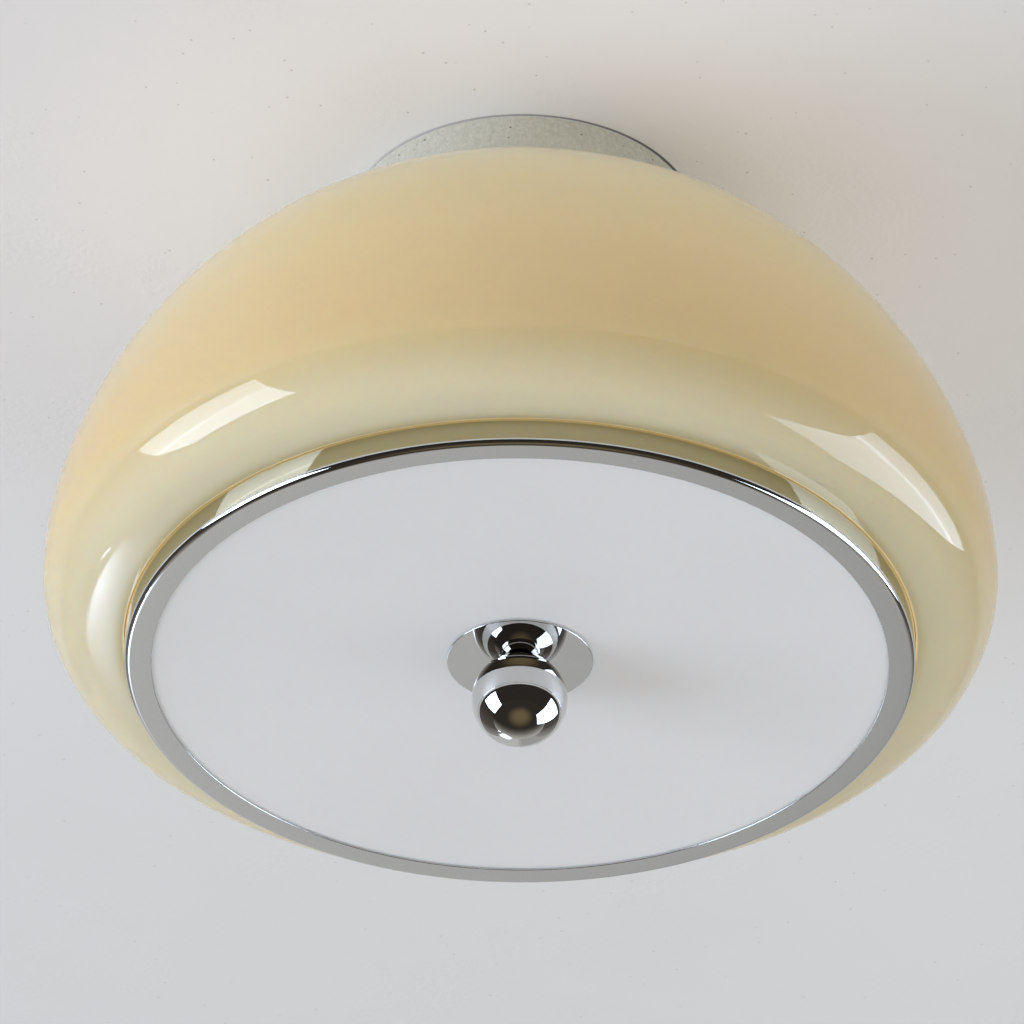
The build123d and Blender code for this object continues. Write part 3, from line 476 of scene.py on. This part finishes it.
finishes = {
    "canopy_paint": canopy_paint(),
    "shade_glass": shade_glass(),
    "trim_chrome": polished_chrome(),
    "mirror_chrome": mirror_chrome(),
    "diffuser_acrylic": diffuser_acrylic(),
    "zinc_steel": mottled(
        "zinc_steel", (0.50, 0.52, 0.55, 1), (0.66, 0.66, 0.64, 1), 320, (0.24, 0.4), (2400, 0.03 * MM),
        Metallic=1.0),
    "spring_steel": spring_steel(),
    "terminal_plastic": mottled(
        "terminal_plastic", (0.80, 0.80, 0.76, 1), (0.86, 0.86, 0.83, 1), 90, (0.4, 0.55), (1500, 0.04 * MM),
        Subsurface_Weight=0.15, Subsurface_Scale=0.002),
    "contact_brass": mottled(
        "contact_brass", (0.60, 0.42, 0.16, 1), (0.76, 0.58, 0.27, 1), 260, (0.2, 0.36), (2200, 0.02 * MM),
        Metallic=1.0),
    "gasket_rubber": mottled(
        "gasket_rubber", (0.022, 0.022, 0.022, 1), (0.05, 0.05, 0.048, 1), 220, (0.62, 0.82),
        (1300, 0.08 * MM)),
    "fibre_washer": fibre_sheet(),
    "porcelain": mottled(
        "porcelain", (0.80, 0.79, 0.75, 1), (0.87, 0.86, 0.83, 1), 70, (0.08, 0.16), (160, 0.12 * MM),
        Coat_Weight=0.5),
    "lamp_cap_metal": turned_aluminium(),
    "lamp_housing_plastic": mottled(
        "lamp_housing_plastic", (0.82, 0.82, 0.80, 1), (0.88, 0.88, 0.86, 1), 80, (0.34, 0.5),
        (1700, 0.03 * MM)),
    "lamp_globe_plastic": mottled(
        "lamp_globe_plastic", (0.86, 0.85, 0.82, 1), (0.91, 0.90, 0.87, 1), 40, (0.22, 0.34),
        (900, 0.02 * MM), Subsurface_Weight=0.4, Subsurface_Scale=0.004),
    "earth_insulation": earth_stripes(),
    "live_insulation": mottled(
        "live_insulation", (0.14, 0.055, 0.02, 1), (0.22, 0.095, 0.04, 1), 150, (0.34, 0.5),
        (1100, 0.04 * MM)),
    "neutral_insulation": mottled(
        "neutral_insulation", (0.04, 0.13, 0.38, 1), (0.07, 0.19, 0.50, 1), 150, (0.34, 0.5),
        (1100, 0.04 * MM)),
}
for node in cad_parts.values():
    for place in node.material_slots:
        place.material = finishes[place.material.name]


# Turned pieces
def shoulder_sizes():
    """Radii of the shoulder's side and of its underside, which follow from the mouth's place."""
    reach = glass_high.x - ring_high.x - LIP_GAP
    reach -= SHOULDER_CORNER * (math.cos(CORNER_START) - math.cos(CORNER_END))
    drop = SHOULDER_DROP - SHOULDER_CORNER * (math.sin(CORNER_END) - math.sin(CORNER_START))
    side_reach, side_drop = 1 - math.cos(CORNER_START), math.sin(CORNER_START)
    under_reach = math.cos(CORNER_END) - math.cos(LIP_ANGLE)
    under_drop = math.sin(LIP_ANGLE) - math.sin(CORNER_END)
    scale = side_reach * under_drop - under_reach * side_drop
    side = (reach * under_drop - under_reach * drop) / scale
    under = (side_reach * drop - side_drop * reach) / scale
    return side, under


def dome_walls(mesh, inset, heading):
    """Arcs of the dome's wall, up from the mouth where heading is 1 and down to it where it is -1."""
    equator = glass_low.z + SHOULDER_DROP
    glass_radius = glass_high.x
    side, under = shoulder_sizes()
    side_centre = glass_radius - side
    corner_centre = (
        side_centre + (side - SHOULDER_CORNER) * math.cos(CORNER_START),
        equator - (side - SHOULDER_CORNER) * math.sin(CORNER_START))
    under_centre = (
        corner_centre[0] + (SHOULDER_CORNER - under) * math.cos(CORNER_END),
        corner_centre[1] - (SHOULDER_CORNER - under) * math.sin(CORNER_END))
    mouth = ring_high.x + LIP_GAP
    lip_angle = math.acos((mouth - under_centre[0]) / (under - inset))
    span = glass_radius - SEAT_RADIUS
    span -= HAUNCH_RADIUS * (1 - math.cos(HAUNCH_ANGLE)) + CROWN_RADIUS * math.cos(CROWN_ANGLE)
    dome_radius = span / (math.cos(HAUNCH_ANGLE) - math.cos(CROWN_ANGLE))
    slack = HAUNCH_RADIUS - dome_radius
    haunch_centre = glass_radius - HAUNCH_RADIUS
    dome_centre = (haunch_centre + slack * math.cos(HAUNCH_ANGLE), equator + slack * math.sin(HAUNCH_ANGLE))
    arcs = [
        (*under_centre, lip_angle - CORNER_END, 10),
        (*corner_centre, CORNER_END - CORNER_START, 20),
        (side_centre, equator, CORNER_START, 14),
        (haunch_centre, equator, HAUNCH_ANGLE, 8),
        (*dome_centre, CROWN_ANGLE - HAUNCH_ANGLE, 28),
        (SEAT_RADIUS, glass_high.z - CROWN_RADIUS, math.pi / 2 - CROWN_ANGLE, 16),
    ]
    if heading == 1:
        tip_of(mesh).co = (mouth, 0, under_centre[1] - (under - inset) * math.sin(lip_angle))
    for radius, height, angle, steps in arcs[::heading]:
        arc_about(mesh, radius, height, heading * angle, steps)


def shade_dome():
    """Blown glass dome with a fire-polished lip."""
    mesh = outline_from(ring_high.x + LIP_GAP, glass_low.z)
    dome_walls(mesh, 0, 1)
    straight_to(mesh, NECK_RADIUS, glass_high.z)
    straight_to(mesh, NECK_RADIUS, glass_high.z - GLASS_WALL)
    straight_to(mesh, SEAT_RADIUS, glass_high.z - GLASS_WALL)
    dome_walls(mesh, GLASS_WALL, -1)
    lip = tip_of(mesh)
    mesh.verts.ensure_lookup_table()
    mesh.edges.new((lip, mesh.verts[0]))
    turned(mesh)
    eased(mesh, LIP_ROUND, segments=5)
    piece("shade_dome", mesh, finishes["shade_glass"], "root", "shade_glass", "glass_shade")


def canopy_shell():
    """Spun pan, open to the ceiling."""
    radius = pan_high.x
    centre = (radius - CANOPY_CORNER, pan_low.z + CANOPY_CORNER)
    mesh = outline_from(ROD_HOLE, pan_low.z)
    straight_to(mesh, centre[0], pan_low.z)
    arc_about(mesh, *centre, math.pi / 2, 10)
    straight_to(mesh, radius, pan_high.z)
    straight_to(mesh, radius - CANOPY_WALL, pan_high.z)
    straight_to(mesh, radius - CANOPY_WALL, centre[1])
    arc_about(mesh, *centre, -math.pi / 2, 8)
    straight_to(mesh, ROD_HOLE, pan_low.z + CANOPY_WALL)
    straight_to(mesh, ROD_HOLE, pan_low.z)
    turned(mesh)
    eased(mesh, EDGE_ROUND)
    piece("canopy_shell", mesh, finishes["canopy_paint"], "root", "canopy_paint", "canopy_pan")


def trim_band():
    """Chrome ring: an upright band, a rounded corner and a flange turned in."""
    radius = ring_high.x
    bore = radius - FLANGE_WIDTH
    centre = (radius - RING_CORNER, ring_low.z + RING_CORNER)
    mesh = outline_from(bore, ring_low.z)
    straight_to(mesh, centre[0], ring_low.z)
    arc_about(mesh, *centre, math.pi / 2, 12)
    straight_to(mesh, radius, ring_high.z)
    straight_to(mesh, radius - RING_WALL, ring_high.z)
    straight_to(mesh, radius - RING_WALL, centre[1])
    arc_about(mesh, *centre, -math.pi / 2, 8)
    straight_to(mesh, bore, ring_low.z + RING_WALL)
    straight_to(mesh, bore, ring_low.z)
    turned(mesh)
    eased(mesh, RING_EDGE_ROUND, segments=3)
    piece("trim_band", mesh, finishes["trim_chrome"], "diffuser", "trim_chrome", "trim_ring")


def disc_face(mesh, rim_height, seat, heading):
    """One dished face of the diffuser, in from its rim where heading is 1 and out where it is -1."""
    dish = (disc_high.z - disc_low.z) - DISC_THICKNESS
    reach = seat - DISC_LAND
    curve = (reach ** 2 + dish ** 2) / (2 * dish)
    spread = math.asin(reach / curve)
    arc_about(mesh, DISC_LAND, rim_height + dish - curve, heading * spread, 40)


def diffuser_plate():
    """Opal disc, dished up to a flat middle."""
    edge = disc_high.x
    seat = ring_high.x - FLANGE_WIDTH + DISC_OVERLAP
    mesh = outline_from(edge, disc_low.z)
    straight_to(mesh, seat, disc_low.z)
    disc_face(mesh, disc_low.z, seat, 1)
    straight_to(mesh, ROD_HOLE, disc_high.z - DISC_THICKNESS)
    straight_to(mesh, ROD_HOLE, disc_high.z)
    straight_to(mesh, DISC_LAND, disc_high.z)
    disc_face(mesh, disc_low.z + DISC_THICKNESS, seat, -1)
    straight_to(mesh, edge, disc_low.z + DISC_THICKNESS)
    straight_to(mesh, edge, disc_low.z)
    turned(mesh)
    eased(mesh, EDGE_ROUND)
    piece(
        "diffuser_plate", mesh, finishes["diffuser_acrylic"], "diffuser", "diffuser_acrylic", "diffuser_disc")


def seat_washer():
    """Mirror washer under the disc."""
    mesh = outline_from(ROD_HOLE, washer_low.z)
    straight_to(mesh, washer_high.x, washer_low.z)
    straight_to(mesh, washer_high.x, washer_high.z)
    straight_to(mesh, ROD_HOLE, washer_high.z)
    straight_to(mesh, ROD_HOLE, washer_low.z)
    turned(mesh)
    eased(mesh, EDGE_ROUND, segments=4)
    piece(
        "seat_washer", mesh, finishes["mirror_chrome"], "diffuser", "trim_chrome", "finial_washer")


def ball_nut():
    """Ball with a flat seat and a blind bore for the rod."""
    centre = ball_low.z + BALL_RADIUS
    seat_angle = math.acos(BALL_SEAT_RADIUS / BALL_RADIUS)
    mesh = outline_from(0, ball_low.z)
    arc_about(mesh, 0, centre, math.pi / 2 + seat_angle, 72)
    straight_to(mesh, BALL_BORE, ball_high.z)
    straight_to(mesh, BALL_BORE, ball_high.z - BALL_BORE_DEPTH)
    straight_to(mesh, 0, ball_high.z - BALL_BORE_DEPTH)
    turned(mesh, BALL_STEPS)
    eased(mesh, BALL_EDGE_ROUND)
    piece("ball_nut", mesh, finishes["mirror_chrome"], "finial", "trim_chrome", "finial_ball")


# Slotted screws
def slotted_screw(head_radius, head_height, shank_radius, length):
    """Screw along Z, with a slotted head above the origin and its shank below."""
    mesh = bmesh.new()
    bmesh.ops.create_circle(mesh, cap_ends=True, segments=40, radius=head_radius)
    bmesh.ops.translate(mesh, vec=(0, 0, head_height), verts=mesh.verts)
    slot_sides = (SLOT_HALF_WIDTH * head_radius, Vector((1, 0, 0)))
    slot_ends = (SLOT_HALF_LENGTH * head_radius, Vector((0, 1, 0)))
    for half_slot, across in (slot_sides, slot_ends):
        for side in (-1, 1):
            bmesh.ops.bisect_plane(
                mesh, geom=mesh.verts[:] + mesh.edges[:] + mesh.faces[:], dist=1e-7,
                plane_co=side * half_slot * across, plane_no=across)
    shoulder = [edge for edge in mesh.edges if edge.is_boundary]
    groove = min(mesh.faces, key=lambda face: face.calc_center_median().xy.length)
    sunk = bmesh.ops.extrude_discrete_faces(mesh, faces=[groove])["faces"]
    bmesh.ops.translate(mesh, vec=(0, 0, -SLOT_DEPTH * head_height), verts=sunk[0].verts)
    rim = shoulder
    for radius, height in ((head_radius, 0), (shank_radius, 0), (shank_radius, -length)):
        grown = bmesh.ops.extrude_edge_only(mesh, edges=rim)["geom"]
        for vert in grown:
            if isinstance(vert, bmesh.types.BMVert):
                around = vert.co.xy.normalized() * radius
                vert.co = (*around, height)
        rim = [edge for edge in grown if isinstance(edge, bmesh.types.BMEdge) and edge.is_boundary]
    bmesh.ops.contextual_create(mesh, geom=rim)
    head_round = min(HEAD_ROUND_OF_HEIGHT * head_height, HEAD_ROUND_OF_RADIUS * head_radius)
    bmesh.ops.bevel(
        mesh, geom=shoulder, offset=head_round, offset_type="OFFSET", affect="EDGES", segments=4,
        profile=0.5, material=-1)
    bmesh.ops.recalc_face_normals(mesh, faces=mesh.faces)
    return mesh


def set_out(mesh, moves):
    """Copy one form to each of its places."""
    form = mesh.verts[:] + mesh.edges[:] + mesh.faces[:]
    first = mesh.verts[:]
    for move in moves[1:]:
        copy = bmesh.ops.duplicate(mesh, geom=form)["geom"]
        bmesh.ops.transform(mesh, matrix=move, verts=[v for v in copy if isinstance(v, bmesh.types.BMVert)])
    bmesh.ops.transform(mesh, matrix=moves[0], verts=first)
    return mesh


def side_screws():
    """Two screws through the pan's wall into the bracket."""
    low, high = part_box("canopy_screws")
    mesh = slotted_screw(*SIDE_SCREW, SIDE_SCREW_LENGTH)
    head_height = SIDE_SCREW[1]
    seat = Matrix.Translation((high.x - head_height, 0, (low.z + high.z) / 2))
    lie = seat @ Matrix.Rotation(math.pi / 2, 4, "Y")
    moves = []
    for side, turn in zip((0, math.pi), SIDE_SLOT_TURNS):
        moves.append(Matrix.Rotation(side, 4, "Z") @ lie @ Matrix.Rotation(turn, 4, "Z"))
    piece(
        "side_screws", set_out(mesh, moves), finishes["zinc_steel"], "root", "zinc_steel", "canopy_screws")


def upright_screws(name, node, sizes, slot, columns, rows):
    """Screws on end, spread evenly over their node's box."""
    low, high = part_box(node)
    head_radius, head_height = sizes[:2]
    seat = high.z - head_height
    mesh = slotted_screw(*sizes, seat - low.z)
    moves = []
    for column in range(columns):
        for row in range(rows):
            x = low.x + head_radius + column * POLE_PITCH
            y = low.y + head_radius + row * (high.y - low.y - 2 * head_radius)
            turn = FIRST_SLOT_TURN + COLUMN_SLOT_TURN * column + ROW_SLOT_TURN * row
            moves.append(Matrix.Translation((x, y, seat)) @ Matrix.Rotation(turn, 4, "Z"))
    piece(name, set_out(mesh, moves), finishes[slot], "root", slot, node)


shade_dome()
canopy_shell()
trim_band()
diffuser_plate()
seat_washer()
ball_nut()
side_screws()
upright_screws("strip_screws", "block_screws", BLOCK_SCREW, "zinc_steel", 2, 1)
upright_screws("tag_screw", "earth_screw", EARTH_SCREW, "zinc_steel", 1, 1)
upright_screws("clamp_screws", "terminal_screws", CLAMP_SCREW, "contact_brass", 3, 2)


# The ceiling, the room that the chrome and the glass reflect, and the light
def staged(name, mesh, material):
    """A mesh that belongs to the setting and not to the light."""
    data = bpy.data.meshes.new(name)
    mesh.to_mesh(data)
    mesh.free()
    data.materials.append(material)
    made = bpy.data.objects.new(name, data)
    bpy.context.scene.collection.objects.link(made)
    return made


def only_reflected(card):
    """Show a card in reflections alone."""
    card.visible_camera = False
    card.visible_diffuse = False
    card.visible_transmission = False
    card.visible_shadow = False
    return card


def one_sided(made):
    """Let a finish be seen from its front alone."""
    clear = made.nodes.new("ShaderNodeBsdfTransparent")
    sides = made.nodes.new("ShaderNodeMixShader")
    made.links.new(made.nodes.new("ShaderNodeNewGeometry").outputs["Backfacing"], sides.inputs[0])
    made.links.new(made.shader.outputs[0], sides.inputs[1])
    made.links.new(clear.outputs[0], sides.inputs[2])
    made.links.new(sides.outputs[0], made.nodes["Material Output"].inputs["Surface"])
    return made.material


def ceiling():
    """Pale plaster, seen from below alone, with a hole over the canopy that lets light into it; painted light
    pales it towards +X and round the canopy, and a painted shadow darkens it at the canopy's edge.
    """
    made = Finish("ceiling_plaster", Roughness=0.9, Specular_IOR_Level=0.1)
    far = made.ranged(made.along("Y"), 0.05, 0.6, 0.0, 1.0, smooth=True)
    tone = made.ramp(far, (0.0, (0.675, 0.675, 0.66, 1)), (1.0, (0.66, 0.65, 0.625, 1)))
    # Painted light: the plaster is painted paler towards +X, where the lamp's cast shadow falls
    side = made.ranged(made.along("X"), -0.7, 0.7, 0.0, 1.0)
    painted_light_right = made.ramp(side, (0.0, (0.66, 0.67, 0.675, 1)), (1.0, (0.845, 0.855, 0.852, 1)))
    tone = made.mixed(0.35, tone, painted_light_right)
    # Painted light: a pale cool tone round the canopy offsets the shade that falls there
    painted_light_near_canopy = made.ranged(made.radius(), 0.09, 0.28, 0.95, 0.0, smooth=True)
    tone = made.mixed(painted_light_near_canopy, tone, (0.83, 0.86, 0.865, 1))
    patches = made.ranged(made.noise(5.0, 4.0, 0.6), 0.5, 0.75, 0.0, 0.12)
    plaster = made.mixed(patches, tone, (0.56, 0.55, 0.52, 1))
    specks = made.ranged(made.cells(95), 0.03, 0.08, 0.0, 1.0, smooth=True)
    speckled = made.mixed(specks, (0.60, 0.59, 0.57, 1), plaster)
    edge = pan_high.x
    # Painted shadow: a dark line on the plaster just outside the canopy's edge stands for the shade in the
    # gap, darker towards +X
    painted_gap_shadow = made.ranged(made.radius(), edge + 0.4 * MM, edge + 1.0 * MM, 1.0, 0.0, smooth=True)
    shade = made.ranged(made.along("X"), -edge, edge, 0.1, 0.9)
    made.feed("Base Color", made.mixed(made.product(painted_gap_shadow, shade), speckled, (0.03, 0.027, 0.024, 1)))
    rough = made.ranged(made.noise(11.0, 3.0, 0.6), 0.5, 0.62, 0.25, 1.0, smooth=True)
    made.bump((made.product(made.noise(330, 3.0), rough), 0.8 * MM, 0.35), (specks, 0.4 * MM, 0.2))
    mesh = outline_from(pan_high.x - 0.5 * CANOPY_WALL, 0)
    straight_to(mesh, 0.4, 0)
    straight_to(mesh, CEILING_RADIUS, 0)
    turned(mesh, 96)
    upward = [face for face in mesh.faces if face.normal.z > 0]
    bmesh.ops.reverse_faces(mesh, faces=upward)
    staged("ceiling", mesh, one_sided(made))


def glowing(name, tint=(1, 1, 1, 1)):
    """A finish that only glows, with its strength or another colour still to be fed."""
    made = Finish(name)
    made.nodes.remove(made.shader)
    made.shader = made.nodes.new("ShaderNodeEmission")
    made.shader.inputs["Color"].default_value = tint
    made.links.new(made.shader.outputs[0], made.nodes["Material Output"].inputs["Surface"])
    return made


def see_through(made):
    """Let what lies behind a glowing finish show through it."""
    clear = made.nodes.new("ShaderNodeBsdfTransparent")
    both = made.nodes.new("ShaderNodeAddShader")
    made.links.new(made.shader.outputs[0], both.inputs[0])
    made.links.new(clear.outputs[0], both.inputs[1])
    made.links.new(both.outputs[0], made.nodes["Material Output"].inputs["Surface"])
    return made.material


def wall_glow():
    """Dark wall that pales towards the light side of the room."""
    made = glowing("dark_wall")
    depth = made.ranged(made.along("Y"), -0.4, 2.7, 0.0, 1.0)
    made.feed("Color", made.ramp(
        depth, (0.0, (0.03, 0.025, 0.022, 1)), (0.4, (0.06, 0.05, 0.04, 1)), (0.8, (0.10, 0.09, 0.085, 1)),
        (1.0, (0.32, 0.31, 0.30, 1))))
    return made.material


def floor_glow():
    """Dark floor with a brown rug that pales towards the light side of the room."""
    made = glowing("dark_floor")
    rug = made.ranged(made.distance(0.05, -0.55, FLOOR_LEVEL), 0.2, 1.25, 1.0, 0.0, smooth=True)
    dark = made.mixed(rug, (0.035, 0.03, 0.025, 1), (0.17, 0.13, 0.07, 1))
    pale = made.ranged(made.along("Y"), 0.5, 2.6, 0.0, 1.0, smooth=True)
    made.feed("Color", made.mixed(pale, dark, (0.50, 0.485, 0.45, 1)))
    return made.material


def dark_room():
    """Dark walls behind and beside the camera and a brown floor below."""
    wall = bmesh.new()
    start = (WALL_RADIUS * math.sin(HALF_OPENING), WALL_RADIUS * math.cos(HALF_OPENING), WALL_FOOT)
    bmesh.ops.create_vert(wall, co=start)
    grown = bmesh.ops.extrude_vert_indiv(wall, verts=wall.verts[:])
    grown["verts"][0].co.z = WALL_TOP
    around = 2 * math.pi - 2 * HALF_OPENING
    bmesh.ops.spin(
        wall, geom=wall.verts[:] + wall.edges[:], cent=(0, 0, 0), axis=(0, 0, -1), angle=around, steps=64)
    only_reflected(staged("dark_walls", wall, wall_glow()))
    floor = bmesh.new()
    bmesh.ops.create_grid(floor, x_segments=1, y_segments=1, size=1.0)
    bmesh.ops.scale(floor, vec=(FLOOR_HALF_WIDTH, FLOOR_HALF_DEPTH, 1.0), verts=floor.verts)
    bmesh.ops.translate(floor, vec=(0, FLOOR_SHIFT, FLOOR_LEVEL), verts=floor.verts)
    only_reflected(staged("dark_floor", floor, floor_glow()))


def facing(made, azimuth, distance, height):
    """Stand an object upright at a compass angle from the light, turned to face it."""
    turn = math.radians(azimuth)
    made.location = (distance * math.sin(turn), distance * math.cos(turn), height)
    made.rotation_euler = (math.pi / 2, 0, math.pi - turn)


def card(name, width, tall, material, lean=0.0):
    """An upright card that shows in reflections alone, with its top set over by a lean."""
    mesh = bmesh.new()
    bmesh.ops.create_grid(mesh, x_segments=1, y_segments=1, size=0.5)
    bmesh.ops.scale(mesh, vec=(width, tall, 1.0), verts=mesh.verts)
    shear = Matrix.Identity(4)
    shear[0][1] = lean / tall
    bmesh.ops.transform(mesh, matrix=shear, verts=mesh.verts)
    return only_reflected(staged(name, mesh, material))


def pane(name, tall, crest, foot, dim, bright):
    """Window glow that is brightest along one level, a share of its height, with its own glow at the foot."""
    made = glowing(name + "_pane", PANE_TINT)
    level = made.ranged(made.along("Y"), -tall / 2, tall / 2, 0.0, 1.0)
    glow = made.ramp(
        level, (0.0, grey(foot)), (crest - CREST_SPREAD, grey(0.42)), (crest, grey(1.0)),
        (crest + CREST_SPREAD, grey(0.3)), (1.0, grey(0.1)))
    made.feed("Strength", made.ranged(glow, 0.0, 1.0, dim, bright))
    return made.material


def soft_lamp(name, width, tall, power, tint):
    """A broad lamp that lights the scene and isn't itself seen."""
    lamp = bpy.data.lights.new(name, "AREA")
    lamp.shape = "RECTANGLE"
    lamp.size = width
    lamp.size_y = tall
    lamp.energy = power
    lamp.color = tint
    made = bpy.data.objects.new(name, lamp)
    made.visible_camera = False
    made.visible_glossy = False
    bpy.context.scene.collection.objects.link(made)
    return made


def window(name, azimuth, distance, height, width, tall, lean, power, tint, material):
    """A tall window: a soft lamp, and a card that shines in the glass and the chrome."""
    facing(soft_lamp(name, width, tall, power, tint), azimuth, distance, height)
    facing(card(name + "_card", width, tall, material, lean), azimuth, distance, height)


def far_glow():
    """A doorway's soft light, with a slit of light beside it."""
    made = glowing("doorway_glow", DOORWAY_TINT)
    across = made.ranged(made.along("X"), -DOORWAY_WIDTH / 2, DOORWAY_WIDTH / 2, 0.0, 1.0)
    across = made.ramp(across, (0.1, grey(0.0)), (0.45, grey(0.5)), (0.65, grey(1.0)), (0.84, grey(0.0)))
    upright = made.ranged(made.along("Y"), -DOORWAY_TALL / 2, DOORWAY_TALL / 2, 0.0, 1.0)
    upright = made.ramp(upright, (0.0, grey(0.0)), (0.3, grey(0.8)), (0.44, grey(1.0)), (1.0, grey(0.0)))
    made.feed("Strength", made.ranged(made.product(across, upright), 0.0, 1.0, 0.0, 7.2))
    doorway = card("doorway", DOORWAY_WIDTH, DOORWAY_TALL, see_through(made))
    facing(doorway, azimuth=-23, distance=2.0, height=-1.53)
    made = glowing("slit_glow", DOORWAY_TINT)
    fade = made.ranged(made.along("Y"), -SLIT_TALL / 2, SLIT_TALL / 2, 0.0, 1.0)
    fade = made.ramp(fade, (0.0, grey(0.0)), (0.5, grey(1.0)), (1.0, grey(0.0)))
    made.feed("Strength", made.ranged(fade, 0.0, 1.0, 0.0, 16.0))
    slit = card("slit", SLIT_WIDTH, SLIT_TALL, see_through(made), lean=0.12)
    facing(slit, azimuth=-39.3, distance=2.0, height=-1.635)


def front_fill():
    """Broad soft light from the camera's side."""
    lamp = soft_lamp("front_fill", width=2.4, tall=1.6, power=11, tint=PLAIN_LIGHT)
    facing(lamp, azimuth=180, distance=3.0, height=-1.0)


def sky():
    """Pale room light, with its own level in reflections."""
    world = bpy.data.worlds.new("pale_room")
    bpy.context.scene.world = world
    world.use_nodes = True
    nodes = world.node_tree.nodes
    links = world.node_tree.links
    seen = nodes["Background"]
    place = nodes.new("ShaderNodeSeparateXYZ")
    links.new(nodes.new("ShaderNodeTexCoord").outputs["Generated"], place.inputs[0])
    across = nodes.new("ShaderNodeMapRange")
    links.new(place.outputs["X"], across.inputs["Value"])
    across.inputs["From Min"].default_value = -ROOM_BLEND
    across.inputs["From Max"].default_value = ROOM_BLEND
    across.inputs["To Min"].default_value = ROOM_LEFT
    across.inputs["To Max"].default_value = ROOM_RIGHT
    links.new(across.outputs["Result"], seen.inputs["Color"])
    lighting = nodes.new("ShaderNodeBackground")
    lighting.inputs["Color"].default_value = grey(ROOM_LIGHT)
    path = nodes.new("ShaderNodeLightPath")
    mix = nodes.new("ShaderNodeMixShader")
    links.new(path.outputs["Is Diffuse Ray"], mix.inputs[0])
    links.new(seen.outputs[0], mix.inputs[1])
    links.new(lighting.outputs[0], mix.inputs[2])
    links.new(mix.outputs[0], nodes["World Output"].inputs["Surface"])


def camera():
    """Camera below and to the front, far off with a long lens."""
    data = bpy.data.cameras.new("camera")
    data.sensor_width = CAMERA_SENSOR
    data.lens = CAMERA_LENS
    made = bpy.data.objects.new("camera", data)
    bpy.context.scene.collection.objects.link(made)
    aim = Matrix.Rotation(math.pi / 2 + CAMERA_ELEVATION, 4, "X") @ Matrix.Rotation(CAMERA_TILT, 4, "X")
    aim = aim @ Matrix.Rotation(CAMERA_PAN, 4, "Y") @ Matrix.Rotation(CAMERA_ROLL, 4, "Z")
    back = CAMERA_DISTANCE * math.cos(CAMERA_ELEVATION)
    down = CAMERA_DISTANCE * math.sin(CAMERA_ELEVATION)
    made.matrix_world = Matrix.Translation((0, -back, ring_low.z - down)) @ aim
    bpy.context.scene.camera = made


ceiling()
dark_room()
left_pane = pane("left", tall=1.5, crest=0.55, foot=0.4, dim=3.8, bright=11.0)
window(
    "left_window", azimuth=-106, distance=2.2, height=-1.03, width=1.33, tall=1.5, lean=-0.12, power=34,
    tint=DAYLIGHT, material=left_pane)
right_pane = pane("right", tall=1.88, crest=0.81, foot=0.0, dim=2.8, bright=8.5)
window(
    "right_window", azimuth=82.5, distance=1.5, height=-1.25, width=1.08, tall=1.88, lean=0.17, power=5.6,
    tint=PLAIN_LIGHT, material=right_pane)
far_glow()
front_fill()
sky()
camera()
bpy.context.scene.view_settings.view_transform = "Standard"
